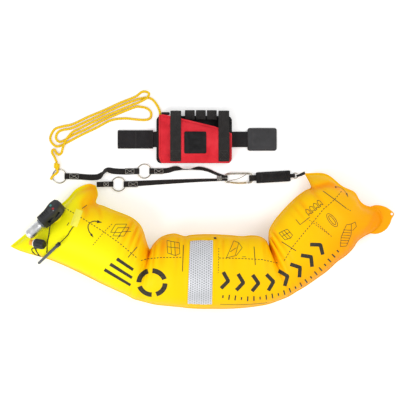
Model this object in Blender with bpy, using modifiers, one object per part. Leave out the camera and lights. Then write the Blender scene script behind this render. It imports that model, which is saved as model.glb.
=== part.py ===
"""An inflatable open water swim buoy with its leash, tow rope and hip pouch, laid out flat.

The welded bladder lies on its underside, curved round the leash. The leash joins its two ears, the
tow rope runs from the leash to the pouch, and the pouch rides on a waist belt. The gas inflator, the
oral valve and the pull bar sit on the bladder's left end. Metres; +X runs along the buoy, +Y towards
the pouch and +Z up. The origin is in the middle of the bladder's flat underside.
"""

import math

import bmesh
import bpy
import numpy as np
from mathutils import Matrix, Vector
from mathutils.bvhtree import BVHTree

# Clearances that the whole part shares
SEAT = 0.0003
CLOTH_SEAT = 0.0005
PAD_SEAT = 0.0008
OVERRUN = 0.004
WELD = 0.00001

# Bladder: two coated skins welded along a margin, about 17 litres
BUOY_LENGTH = 0.906
HALF_THICKNESS = 0.067
FLOOR_DENT = 0.002
SEAM_HEIGHT = HALF_THICKNESS - FLOOR_DENT
SKIN = 0.0006
MARGIN_WIDTH = 0.0045

# Each station: inner seam x and y, outer seam x and y, as shares of the length, then the rise as a
# share of the half thickness, the seam's height as a share of the full one, and the crease's depth.
STATION_SHARES = (
    (-0.281, 0.225, -0.507, 0.062, 0.00, 0.62, 0.00),
    (-0.279, 0.220, -0.503, 0.060, 0.00, 0.63, 0.00),
    (-0.276, 0.213, -0.495, 0.056, 0.50, 0.66, 0.00),
    (-0.273, 0.198, -0.477, 0.049, 0.71, 0.75, 0.00),
    (-0.276, 0.178, -0.448, 0.041, 0.88, 0.88, 0.00),
    (-0.255, 0.170, -0.407, 0.030, 0.96, 0.95, 0.00),
    (-0.231, 0.160, -0.361, 0.012, 0.99, 0.98, 0.00),
    (-0.202, 0.149, -0.310, -0.012, 0.99, 1.00, 0.00),
    (-0.178, 0.138, -0.260, -0.037, 1.00, 1.00, 0.00),
    (-0.159, 0.121, -0.223, -0.054, 0.99, 1.00, 0.02),
    (-0.149, 0.101, -0.196, -0.066, 0.97, 1.00, 0.08),
    (-0.142, 0.077, -0.178, -0.076, 0.94, 1.00, 0.20),
    (-0.133, 0.056, -0.162, -0.081, 0.90, 1.00, 0.36),
    (-0.123, 0.070, -0.143, -0.086, 0.94, 1.00, 0.20),
    (-0.101, 0.089, -0.117, -0.092, 0.97, 1.00, 0.06),
    (-0.069, 0.097, -0.080, -0.096, 0.99, 1.00, 0.00),
    (-0.041, 0.090, -0.048, -0.099, 0.99, 1.00, 0.03),
    (-0.025, 0.093, -0.033, -0.101, 1.00, 1.00, 0.00),
    (0.005, 0.095, 0.000, -0.103, 1.00, 1.00, 0.00),
    (0.034, 0.095, 0.031, -0.103, 1.00, 1.00, 0.00),
    (0.074, 0.093, 0.069, -0.103, 1.00, 1.00, 0.00),
    (0.111, 0.090, 0.109, -0.101, 1.00, 1.00, 0.00),
    (0.137, 0.092, 0.146, -0.097, 0.99, 1.00, 0.03),
    (0.159, 0.089, 0.180, -0.091, 0.97, 1.00, 0.06),
    (0.176, 0.078, 0.212, -0.080, 0.94, 1.00, 0.20),
    (0.182, 0.064, 0.236, -0.070, 0.90, 1.00, 0.36),
    (0.181, 0.088, 0.255, -0.058, 0.94, 1.00, 0.20),
    (0.184, 0.109, 0.279, -0.044, 0.97, 1.00, 0.08),
    (0.198, 0.133, 0.308, -0.024, 0.99, 1.00, 0.00),
    (0.216, 0.155, 0.337, -0.003, 1.00, 1.00, 0.00),
    (0.239, 0.179, 0.363, 0.021, 1.00, 1.00, 0.00),
    (0.260, 0.198, 0.387, 0.038, 0.97, 0.99, 0.00),
    (0.279, 0.211, 0.406, 0.057, 0.95, 0.97, 0.00),
    (0.294, 0.218, 0.420, 0.077, 0.91, 0.92, 0.00),
    (0.293, 0.228, 0.441, 0.091, 0.83, 0.84, 0.00),
    (0.289, 0.239, 0.464, 0.101, 0.69, 0.74, 0.00),
    (0.285, 0.249, 0.480, 0.116, 0.46, 0.65, 0.00),
    (0.283, 0.254, 0.487, 0.130, 0.00, 0.61, 0.00),
    (0.283, 0.258, 0.490, 0.134, 0.00, 0.60, 0.00),
)
# How far each end seam bows out past its chord: the place along it, and the bow as a length share
LEFT_BOW_SHARES = ((0, 0), (0.05, 0.015), (0.17, 0.022), (0.32, 0.013), (0.65, 0.006), (1, 0))
RIGHT_BOW_SHARES = (
    (0, 0), (0.2, 0.026), (0.42, 0.020), (0.57, 0.023), (0.67, 0.011), (0.75, 0.008), (0.9, 0.016), (1, 0),
)
BOW_FADE_SHARES = (1, 1, 0.8, 0.5, 0.25, 0.1)
EAR_DROOP = 0.0250
EAR_REACH_SHARE = 0.45
TOP_STEPS = 12
UNDER_STEPS = 11
PATCH_STATIONS = (17, 19)
PATCH_STEPS = (4, 10)

# Pieces carried by the bladder, placed by shares of its length
PATCH_THICKNESS = 0.0006
STUD_SHARE = (0.039, 0.083)
STUD_HEAD = 0.007
STUD_HEIGHT = 0.0026
POCKET_SHARE = (-0.322, 0.1385)
POCKET_TURN = math.radians(73)
POCKET_LENGTH = 0.040
POCKET_WIDTH = 0.018
POCKET_THICKNESS = 0.0012
TAB_OFFSET = (0.0117, 0.0127)
TAB_LENGTH = 0.030
TAB_WIDTH = 0.026
TAB_THICKNESS = 0.0016
TAB_HOLE = 0.006

# Inflator: a moulded body over a welded flange, with a gas cartridge screwed into its lower end
INFLATOR_SHARE = (-0.3800, 0.1410)
LEVEL_SHARE = 0.2
INFLATOR_TURN = math.radians(42)
FLANGE_RADIUS = 0.019
FLANGE_THICKNESS = 0.0016
BOSS_RADIUS = 0.009
BODY_HEIGHT = 0.0275
BODY_LENGTH = 0.066
BODY_WIDTH = 0.034
BODY_BEVEL = 0.0028
SOCKET_SIDE = -0.0034
CARTRIDGE_DIAMETER = 0.0260
CARTRIDGE_LENGTH = 0.042
NECK_DIAMETER = 0.0130
NECK_LENGTH = 0.0105
COLLAR_THICKNESS = 0.0036
SEAL_THICKNESS = 0.0014
PIN_DIAMETER = 0.0032
PIN_TRAVEL = 0.0055
PIN_BORE_GAP = 0.0004
LEVER_REACH = 0.019
LEVER_THICKNESS = 0.0048
LEVER_WIDTH = 0.0056
LEVER_CAM = 0.0090
LEVER_PIN_DIAMETER = 0.0030
LEVER_SLOT_GAP = 0.0006
LEVER_PIVOT_X = 0.0060
LEVER_PIVOT_Y = -0.0125
LEVER_ANGLE = math.radians(200)
RIB_SLOTS = 4
RIB_SLOT_PITCH = 0.0060
RIB_SLOT_WIDTH = 0.0026
RIB_SLOT_LENGTH = 0.0170
RIB_SLOT_DEPTH = 0.0018
RIB_SLOT_START = -0.0245
WINDOW_SIZE = 0.0062
WINDOW_DEPTH = 0.0016
GREEN_WINDOW = (0.0095, 0.0065)
RED_WINDOW = (0.0085, -0.0070)

# Oral valve: a short tube on a welded base, a nozzle and its ribbed dust cap on a tether loop
VALVE_OFFSET = (-0.0453, -0.0634)
VALVE_TURN = math.radians(-8)
VALVE_BASE_RADIUS = 0.0082
VALVE_BOSS_RADIUS = 0.0060
TUBE_DIAMETER = 0.0130
TUBE_LENGTH = 0.0110
NOZZLE_DIAMETER = 0.0120
NOZZLE_FLANGE = 0.0185
NOZZLE_LENGTH = 0.0170
NOZZLE_BORE = 0.0060
STEM_DIAMETER = 0.0050
STEM_LENGTH = 0.0110
CAP_DIAMETER = 0.0235
CAP_LENGTH = 0.0260
CAP_BORE_DEPTH = 0.0150
CAP_RIBS = 10
CAP_RIB_DEPTH = 0.0014
TETHER_WIRE = 0.0030
TETHER_RING = 0.0135

# Pull bar and its two thin cords
BAR_SHARE = (-0.3930, 0.0490)
BAR_TURN = math.radians(40.5)
BAR_LENGTH = 0.106
BAR_DIAMETER = 0.0070
BAR_BORE = 0.0036
BAR_CAP_LENGTH = 0.0130
BAR_CAP_WALL = 0.0011
BAR_CAP_GRIP = 0.0100
TRIGGER_CORD_DIAMETER = 0.0025
TETHER_CORD_DIAMETER = 0.0020

# Leash: flat webbing between steel rings and a spring hook
WEBBING_WIDTH = 0.0145
WEBBING = 0.0012
EAR_WEBBING_WIDTH = 0.0130
NARROW_WEBBING_WIDTH = 0.0058
SMALL_EAR_WEBBING_WIDTH = 0.0100
TAIL_LENGTH = 0.030
STEEP_SHARE = 0.5
RING_DIAMETER = 0.0370
RING_WIRE = 0.0030
RING_LIFT = WEBBING + SEAT + RING_WIRE / 2
EAR_STRAP_REACH = 0.0365
EAR_STRAP_START = (0.0024, 0.0020)
RING_2_FORWARD = 0.0630
RING_2_ACROSS = 0.0318
RING_3_BACK = 0.2078
RING_3_ACROSS = 0.0122
HOOK_LENGTH = 0.0690
HOOK_WIDTH = 0.0280
HOOK_ROD = 0.0050
GATE_ROD = 0.0042
GATE_PIN_DIAMETER = 0.0016
GATE_BULGE = 0.0016
GATE_GAP = 0.0009
NOSE_SHARE = (-0.66, -0.88)
PIVOT_SHARE = (0.66, -0.95)
KEEPER_WIRE = 0.0016
SLEEVE_LENGTH = 0.0840
SLEEVE_WIDTH = 0.0270
SLEEVE_THICKNESS = 0.0078
SLEEVE_WALL = 0.0011
SLEEVE_DROP = 0.0062
HOOK_TO_SLEEVE = 0.0060
D_RING_SPAN = 0.0150
D_RING_WIRE = 0.0024
D_RING_DEPTH = 0.0130
RIGHT_STRAP_REACH = 0.0200
RIGHT_STRAP_DROP = 0.0060
LEASH_LIFT = SLEEVE_WALL + SEAT

# Pouch on its waist belt
POUCH_X = -0.0114
POUCH_Y = 0.2580
POUCH_WIDTH = 0.1780
POUCH_HIGH_SIDE = 0.1180
POUCH_LOW_SIDE = 0.0720
POUCH_DEPTH = 0.0400
POUCH_EDGE_DEPTH = 0.0250
POUCH_WALL = 0.0024
PANEL_WIDTH = POUCH_WIDTH + 0.0070
PANEL_HEIGHT = 0.1160
PANEL_THICKNESS = 0.0030
PANEL_CORNER = 0.0120
LABEL_SIZE = 0.0535
LABEL_THICKNESS = 0.0010
LABEL_CORNER = 0.0040
LABEL_SIDE = 0.0000
LABEL_UP = 0.0490
CLOSURE_WIDTH = 0.0262
CLOSURE_THICKNESS = 0.0013
CLOSURE_SHARES = (-0.2674, 0.3899)
CLOSURE_TOP = 0.1275
LOOP_WIDTH = 0.0240
LOOP_PITCH = 0.0268
LOOP_THICKNESS = 0.0013
LOOP_TOP = 0.1290
LOOP_FOLD_RADIUS = 0.0050
LOOP_TAIL = 0.0225
LOOP_COUNT = 3
LOOPS_SHARE = 0.0753
COLLAR_LENGTH = 0.0205
COLLAR_DEPTH = 0.0060
COLLAR_HEIGHT = 0.0200
MESH_LENGTH = 0.0230
MESH_RISE = 0.0300
MESH_THICKNESS = 0.0020
BELT_WIDTH = 0.0381
BELT_THICKNESS = 0.0020
BELT_Y = 0.3165
BELT_LEFT = 0.1990
BELT_RIGHT = 0.1260
KEEPER_WIDTH = 0.0250
KEEPER_THICKNESS = 0.0016
KEEPER_SHARE = 0.3034
KEEPER_SIDE_GAP = 0.0008
FOLD_WIDTH = 0.0450
FOLD_LENGTH = 0.0860
FOLD_THICKNESS = 0.0014
PAD_LENGTH = 0.0720
PAD_WIDTH = 0.0560
PAD_THICKNESS = 0.0062
PAD_CORNER = 0.0060
PAD_LAP = 0.0100

# Tow rope: a lead from the pouch, the hank's five runs with their end turns, and the tail to the leash
ROPE_DIAMETER = 0.0060
ROPE_LAY = 0.0032
ROPE_STEPS = 118
ROPE_LEAST_GAP = 0.0004
KNOT_WIDTH = 0.0150
KNOT_LENGTH = 0.0150
KNOT_SIDE = -0.0060
ROPE_LEAD = (
    (-0.0970, 0.3745, 0.0040), (-0.0995, 0.3880, 0.0036), (-0.1070, 0.4030, 0.0032),
    (-0.1175, 0.4150, 0.0032), (-0.1300, 0.4185, 0.0032), (-0.1430, 0.4170, 0.0032),
)
ROPE_TAIL = (
    (-0.3372, 0.2895, 0.0085), (-0.3395, 0.2830, 0.0040), (-0.3450, 0.2790, 0.0032),
    (-0.3515, 0.2830, 0.0032), (-0.3560, 0.2905, 0.0032), (-0.3612, 0.2905, 0.0032),
    (-0.3625, 0.2840, 0.0034), (-0.3565, 0.2740, 0.0055),
)
HANK_HEAD = (-0.1325, 0.4133)
HANK_TURN = math.radians(203.4)
HANK_LENGTH = 0.235
HANK_PITCH = 0.0071
# How the hank bends and loosens along its length: the place, the sway and the looseness in pitches
HANK_SHARES = (
    (-0.1, 0.20, 1.1), (0.05, 0.25, 1.1), (0.17, 0.27, 1.1), (0.28, 0.50, 1.05), (0.40, 0.30, 1),
    (0.50, 0.48, 1.08), (0.61, 0.20, 1.18), (0.73, 0, 1.12), (0.85, 0, 1.2), (0.95, 0.1, 1.45),
    (1.1, 0.1, 1.45),
)
# Each run: where it starts and ends along the hank, and its row counted in pitches from the middle
RUN_SHARES = (
    (0.09, 0.82, 1), (0.86, 0.13, -1), (0.42, 0.93, -2), (0.80, 0.09, 2), (0.17, 0.75, 0),
)
# Each run's end turn: place along the hank, row in pitches and lift in rope diameters
TURN_SHARES = (
    ((0.92, 1.30, 0), (0.98, 1.10, 0), (1.018, 0.16, 0), (1.005, -1.0, 0), (0.945, -1.2, 0)),
    (
        (0.085, -1.5, 0), (0.028, -2.7, 0), (0.004, -4.4, 0), (0.03, -5.9, 0), (0.08, -6.0, 0),
        (0.167, -4.8, 0), (0.28, -3.3, 0),
    ),
    (
        (1.03, -1.95, 0), (1.07, -1.1, 0), (1.08, 0.2, 0), (1.055, 1.2, 0), (0.99, 2.15, 0),
        (0.90, 2.2, 0),
    ),
    (
        (0.01, 2.55, 0.1), (-0.035, 2.1, 0.6), (-0.055, 1.1, 1.15), (-0.02, 0.2, 1.2),
        (0.05, -0.1, 1.05), (0.11, -0.05, 0.3),
    ),
    ((0.84, -0.25, 0.95), (0.92, -1.25, 1.15), (0.965, -2.05, 1.15)),
)


def share_point(shares):
    """A place on the plan, from shares of the buoy's length."""
    return Vector((shares[0] * BUOY_LENGTH, shares[1] * BUOY_LENGTH, 0))


def finish_of(name, colour, roughness, metallic=0.0):
    """A plain Principled material."""
    material = bpy.data.materials.new(name)
    material.use_nodes = True
    shader = material.node_tree.nodes["Principled BSDF"]
    shader.inputs["Base Color"].default_value = (*colour, 1)
    shader.inputs["Roughness"].default_value = roughness
    shader.inputs["Metallic"].default_value = metallic
    return material


def add_object(name, data, material):
    """Puts a mesh or a curve into the buoy's collection under the node's name."""
    piece = bpy.data.objects.new(name, data)
    data.materials.append(material)
    parts.objects.link(piece)
    return piece


def closed_mesh(name, points, faces, material, smooth=True):
    """One closed body from its points and faces, with every face turned outwards."""
    mesh = bpy.data.meshes.new(name)
    mesh.from_pydata([tuple(map(float, p)) for p in points], [], faces)
    work = bmesh.new()
    work.from_mesh(mesh)
    bmesh.ops.recalc_face_normals(work, faces=work.faces)
    work.to_mesh(mesh)
    work.free()
    if smooth:
        mesh.shade_smooth()
        mesh.set_sharp_from_angle(angle=math.radians(40))
    return add_object(name, mesh, material)


def loft(name, rings, material, smooth=True):
    """A skin over rings of equally many points, closed by a flat cap on the first and last ring."""
    rings = np.asarray(rings, float)
    count, around = rings.shape[:2]
    faces = []
    for i in range(count - 1):
        for j in range(around):
            k = (j + 1) % around
            faces.append((i * around + j, i * around + k, (i + 1) * around + k, (i + 1) * around + j))
    faces.append(tuple(range(around))[::-1])
    faces.append(tuple((count - 1) * around + j for j in range(around)))
    return closed_mesh(name, rings.reshape(-1, 3), faces, material, smooth)


def hoop(name, rings, material):
    """A skin over rings that close on themselves, such as a tube bent into a loop."""
    rings = np.asarray(rings, float)
    count, around = rings.shape[:2]
    faces = []
    for i in range(count):
        n = (i + 1) % count
        for j in range(around):
            k = (j + 1) % around
            faces.append((i * around + j, i * around + k, n * around + k, n * around + j))
    return closed_mesh(name, rings.reshape(-1, 3), faces, material)


def even_path(points, count):
    """Points evenly spaced along a Catmull-Rom curve through the given points."""
    knots = np.asarray([tuple(p) for p in points], float)
    ends = np.vstack([2 * knots[0] - knots[1], knots, 2 * knots[-1] - knots[-2]])
    t = np.linspace(0, 1, 24, endpoint=False)[:, None]
    fine = []
    for a, b, c, d in zip(ends, ends[1:], ends[2:], ends[3:]):
        bend = 2 * a - 5 * b + 4 * c - d
        skew = 3 * b - a - 3 * c + d
        fine.append((2 * b + (c - a) * t + bend * t**2 + skew * t**3) / 2)
    fine = np.vstack([*fine, knots[-1:]])
    run = np.concatenate([[0], np.cumsum(np.linalg.norm(np.diff(fine, axis=0), axis=1))])
    stops = np.linspace(0, run[-1], count)
    return np.stack([np.interp(stops, run, fine[:, k]) for k in range(3)], axis=1)


def directions(path):
    """Unit headings along a path."""
    ahead = np.gradient(np.asarray(path, float), axis=0)
    return ahead / np.linalg.norm(ahead, axis=1)[:, None]


def cord(name, path, diameter, material, resolution=2):
    """A round cord: a bevelled curve through the points of its path."""
    curve = bpy.data.curves.new(name, "CURVE")
    curve.dimensions = "3D"
    curve.bevel_depth = diameter / 2
    curve.bevel_resolution = resolution
    curve.use_fill_caps = True
    spline = curve.splines.new("POLY")
    spline.points.add(len(path) - 1)
    for point, place in zip(spline.points, path):
        point.co = (*place, 1)
    return add_object(name, curve, material)


def turned(name, profile, material, steps=24):
    """A turned piece about its own Z axis, from a profile of radii and heights, outer side downwards."""
    mesh = bpy.data.meshes.new(name)
    edges = [(i, i + 1) for i in range(len(profile) - 1)]
    if profile[0][0] > 0:
        edges.append((len(profile) - 1, 0))
    mesh.from_pydata([(radius, 0, height) for radius, height in profile], edges, [])
    piece = add_object(name, mesh, material)
    screw = piece.modifiers.new("Turn", "SCREW")
    screw.steps = steps
    screw.render_steps = steps
    screw.use_merge_vertices = True
    screw.merge_threshold = WELD
    screw.use_smooth_shade = True
    return piece


def plate(name, outline, thickness, material):
    """A flat outline with a thickness, centred on its own plane."""
    curve = bpy.data.curves.new(name + "_outline", "CURVE")
    curve.dimensions = "2D"
    curve.fill_mode = "BOTH"
    curve.extrude = thickness / 2
    spline = curve.splines.new("POLY")
    spline.points.add(len(outline) - 1)
    for point, place in zip(spline.points, outline):
        point.co = (place[0], place[1], 0, 1)
    spline.use_cyclic_u = True
    guide = bpy.data.objects.new(name + "_outline", curve)
    bpy.context.scene.collection.objects.link(guide)
    mesh = bpy.data.meshes.new_from_object(guide.evaluated_get(bpy.context.evaluated_depsgraph_get()))
    bpy.data.objects.remove(guide, do_unlink=True)
    work = bmesh.new()
    work.from_mesh(mesh)
    bmesh.ops.remove_doubles(work, verts=work.verts, dist=WELD)
    bmesh.ops.recalc_face_normals(work, faces=work.faces)
    work.to_mesh(mesh)
    work.free()
    return add_object(name, mesh, material)


def rounded_outline(length, width, corner, steps=4):
    """A rectangle with round corners, centred on zero."""
    points = []
    for quarter in range(4):
        side_x = 1 if quarter in (0, 3) else -1
        side_y = 1 if quarter in (0, 1) else -1
        for i in range(steps + 1):
            angle = math.pi / 2 * (quarter + i / steps)
            x = side_x * (length / 2 - corner) + corner * math.cos(angle)
            y = side_y * (width / 2 - corner) + corner * math.sin(angle)
            points.append((x, y))
    return points


def bevel(piece, width, segments=2):
    """Rounds the edges of a piece."""
    edge = piece.modifiers.new("Round", "BEVEL")
    edge.width = width
    edge.segments = segments
    edge.limit_method = "ANGLE"
    edge.angle_limit = math.radians(50)


def box(name, size, centre, material):
    """A box as a primitive, with its scale applied to its mesh."""
    mesh = bpy.data.meshes.new(name)
    work = bmesh.new()
    bmesh.ops.create_cube(work, size=1)
    bmesh.ops.scale(work, vec=size, verts=work.verts)
    work.to_mesh(mesh)
    work.free()
    piece = add_object(name, mesh, material)
    piece.location = centre
    return piece


def cylinder(name, diameter, height, material, steps=20):
    """A plain cylinder about its own Z axis, centred on zero."""
    mesh = bpy.data.meshes.new(name)
    work = bmesh.new()
    bmesh.ops.create_cone(
        work, cap_ends=True, segments=steps, radius1=diameter / 2, radius2=diameter / 2, depth=height
    )
    work.to_mesh(mesh)
    work.free()
    return add_object(name, mesh, material)


def cut(piece, cutter):
    """Takes one solid out of another and puts the cutter away."""
    cutter.hide_render = True
    cutter.display_type = "WIRE"
    parts.objects.unlink(cutter)
    cutters.objects.link(cutter)
    away = piece.modifiers.new("Cut", "BOOLEAN")
    away.operation = "DIFFERENCE"
    away.object = cutter


def settle(piece, centre):
    """Moves a piece's origin to a place, with its shape left where it is."""
    piece.data.transform(Matrix.Translation(piece.location - Vector(centre)))
    piece.location = centre


def bow(table, along):
    """How far an end seam stands out of its chord, read from its table."""
    places, lengths = zip(*table)
    return np.interp(along, places, lengths) * BUOY_LENGTH


def bladder_ring(index):
    """One cross-section of the bladder: margins at both seams, a full arc above, a flattened one below."""
    row = STATION_SHARES[index]
    inner = np.array([row[0], row[1]]) * BUOY_LENGTH
    outer = np.array([row[2], row[3]]) * BUOY_LENGTH
    chord = outer - inner
    width = np.linalg.norm(chord)
    rise = row[4] * HALF_THICKNESS
    seam = row[5] * SEAM_HEIGHT
    root = MARGIN_WIDTH / width

    def arc(angles, side):
        along = 0.5 - (0.5 - root) * np.cos(angles)
        pinch = 1 - row[6] * (0.5 + 0.5 * np.cos(angles))
        return along, seam + side * (SKIN + rise * pinch * np.sin(angles))

    top = arc(np.linspace(0, np.pi, TOP_STEPS + 1), 1)
    under = arc(np.linspace(np.pi, 0, UNDER_STEPS + 1), -1)
    along = np.concatenate([[0], top[0], [1, 1], under[0], [0]])
    heights = np.concatenate([[seam + SKIN], top[1], [seam + SKIN, seam - SKIN], under[1], [seam - SKIN]])
    from_left, from_right = index, len(STATION_SHARES) - 1 - index
    out = np.array([chord[1], -chord[0]]) / width
    reach, fade = np.zeros(len(along)), 0
    if from_left < len(BOW_FADE_SHARES):
        fade = BOW_FADE_SHARES[from_left]
        reach = fade * bow(LEFT_BOW_SHARES, along)
    elif from_right < len(BOW_FADE_SHARES):
        fade = BOW_FADE_SHARES[from_right]
        reach = -fade * bow(RIGHT_BOW_SHARES, along)
    plan = inner + along[:, None] * chord + np.multiply.outer(reach, out)
    heights = heights - fade * EAR_DROOP * np.maximum(1 - along / EAR_REACH_SHARE, 0) ** 1.5
    return np.column_stack([plan, np.maximum(heights, 0)])


def make_bladder():
    """The welded air bladder, a bent pillow whose corners stand out as ears and tips."""
    rings = [bladder_ring(i) for i in range(len(STATION_SHARES))]
    return loft("bladder", rings, finishes["skin"])


def skin_tree(piece):
    """The bladder's faces, ready to be asked how high the skin is at a place."""
    graph = bpy.context.evaluated_depsgraph_get()
    return BVHTree.FromObject(piece, graph)


def skin_height(x, y):
    """The height of the bladder's upper skin, or nothing past its edge."""
    hit = skin.ray_cast(Vector((x, y, 4 * HALF_THICKNESS)), Vector((0, 0, -1)))[0]
    return hit.z if hit else None


def skin_seat(centre, turn, ahead, aside, upright=0.0):
    """A frame that lies on the skin at a place, lifted clear of it over its own reach.

    X points along the turn and Z out of the skin. ahead and aside are half the footprint, and
    upright is the share by which a stiff base levels the frame.
    """
    along = Vector((math.cos(turn), math.sin(turn), 0))
    across = Vector((-math.sin(turn), math.cos(turn), 0))

    def at(forward, sideways):
        place = centre + forward * along + sideways * across
        return Vector((place.x, place.y, skin_height(place.x, place.y) or 0))

    x_dir = (at(ahead / 2, 0) - at(-ahead / 2, 0)).normalized()
    y_dir = at(0, aside / 2) - at(0, -aside / 2)
    z_dir = x_dir.cross(y_dir).normalized().lerp(Vector((0, 0, 1)), upright).normalized()
    y_dir = z_dir.cross(x_dir).normalized()
    x_dir = y_dir.cross(z_dir)
    origin = at(0, 0)
    marks = [at(i * ahead / 3, j * aside / 3) for i in range(-3, 4) for j in range(-3, 4)]
    lift = max((mark - origin).dot(z_dir) for mark in marks)
    frame = Matrix((x_dir, y_dir, z_dir)).transposed().to_4x4()
    frame.translation = origin + z_dir * lift
    return frame


def seat_empty(name, frame):
    """An empty at a frame, for the pieces that are built in that frame."""
    holder = bpy.data.objects.new(name, None)
    parts.objects.link(holder)
    holder.matrix_world = frame
    return holder


def under_frame(frame, x, y):
    """The skin's height in a tilted frame, under a place in that frame."""
    start = frame @ Vector((x, y, 4 * HALF_THICKNESS))
    down = frame.to_3x3() @ Vector((0, 0, -1))
    hit = skin.ray_cast(start, down)[0] or skin.find_nearest(frame @ Vector((x, y, 0)))[0]
    return (frame.inverted() @ hit).z


def lay_on_skin(path, reach):
    """Lifts a path's points to at least their reach off the skin, and spaces them evenly again."""
    laid = path
    for _ in range(4):
        lifted = []
        for place in even_path(laid, len(path)):
            place = Vector(place)
            nearest, normal = skin.find_nearest(place)[:2]
            if (place - nearest).dot(normal) < reach:
                place = nearest + normal * reach
            lifted.append(tuple(place))
        laid = lifted
    return laid


def skin_pad(name, frame, radius, thickness, boss, material):
    """A welded flange that follows the skin, with a level boss that clears its highest place.

    Returns the flange and the height of its boss in the frame.
    """
    around = 20
    angles = [2 * math.pi * i / around for i in range(around)]

    def ring(size, height):
        points = []
        for angle in angles:
            x, y = size * math.cos(angle), size * math.sin(angle)
            points.append((x, y, under_frame(frame, x, y) + PAD_SEAT + height))
        return points

    rings = [ring(radius * share, 0) for share in (0.12, 0.3, 0.48, 0.66, 0.83, 1)]
    rings += [ring(size, thickness) for size in (radius, (radius + boss) / 2, boss)]
    rise = max(point[2] for upper in rings[-3:] for point in upper) + SEAT
    for size in (boss, boss / 2):
        rings.append([(size * math.cos(angle), size * math.sin(angle), rise) for angle in angles])
    return loft(name, rings, material), rise


def make_patch():
    """The reflective patch, a sheet bonded to the middle chamber between two of its stations."""
    rings = []
    for index in range(PATCH_STATIONS[0], PATCH_STATIONS[1] + 1):
        near = bladder_ring(index)[1:TOP_STEPS + 2]
        heading = np.gradient(near, axis=0)
        lift = np.cross(heading, np.array([-1.0, 0, 0]))
        lift /= np.linalg.norm(lift, axis=1)[:, None]
        lift *= np.sign(lift[:, 2:3])
        span = slice(PATCH_STEPS[0] - 2, PATCH_STEPS[1] + 1)
        under = (near + lift * CLOTH_SEAT)[span]
        over = (near + lift * (CLOTH_SEAT + PATCH_THICKNESS))[span]
        rings.append(np.vstack([under, over[::-1]]))
    return loft("reflective_patch", rings, finishes["silver_patch"])


def make_skin_trim():
    """The stud in the inner seam, the tether's pocket and the punched tab at the right tip."""
    frame = skin_seat(share_point(STUD_SHARE), 0, STUD_HEAD, STUD_HEAD)
    head = STUD_HEAD / 2
    stud = turned(
        "fold_stud",
        [(0, STUD_HEIGHT), (head * 0.6, STUD_HEIGHT), (head, STUD_HEIGHT / 2), (head, 0), (0, 0)],
        finishes["black_plastic"],
        16,
    )
    stud.matrix_world = frame @ Matrix.Translation((0, 0, SEAT))
    frame = skin_seat(share_point(POCKET_SHARE), POCKET_TURN, POCKET_LENGTH / 2, POCKET_WIDTH / 2)
    rows, columns = 9, 5
    rings = []
    for i in range(rows):
        x = POCKET_LENGTH * (i / (rows - 1) - 0.5)
        lower, upper = [], []
        for j in range(columns):
            y = POCKET_WIDTH * (j / (columns - 1) - 0.5)
            level = under_frame(frame, x, y) + CLOTH_SEAT
            lower.append((x, y, level))
            upper.append((x, y, level + POCKET_THICKNESS))
        rings.append(lower + upper[::-1])
    pocket = loft("tether_pocket", rings, finishes["pale_skin"])
    pocket.parent = seat_empty("pocket_seat", frame)
    last = bladder_ring(len(STATION_SHARES) - 1)
    tip = Vector(last[TOP_STEPS + 2])
    outline = rounded_outline(TAB_LENGTH, TAB_WIDTH, TAB_WIDTH * 0.42)
    tab = plate("tip_tab", outline, TAB_THICKNESS, finishes["skin"])
    tab.location = tip + Vector((*TAB_OFFSET, -SKIN - SEAT - TAB_THICKNESS / 2))
    hole = cylinder("tip_tab_hole", TAB_HOLE, TAB_THICKNESS + OVERRUN, finishes["skin"], 16)
    hole.location = tab.location + Vector((TAB_LENGTH / 2 - TAB_HOLE, 0, 0))
    cut(tab, hole)


def body_outline():
    """The inflator body's plan: a narrow socket end that swells to the head and ends in a nose."""
    length, width = BODY_LENGTH, BODY_WIDTH
    shares = (
        (0.39, 0.40), (0.46, 0.16), (0.48, -0.13), (0.40, -0.34), (0.21, -0.50), (0.04, -0.57),
        (-0.20, -0.53), (-0.52, -0.46), (-0.52, 0.26), (-0.22, 0.28), (-0.08, 0.34), (0.04, 0.42),
        (0.22, 0.47),
    )
    return [(x * length, y * width) for x, y in shares]


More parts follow.
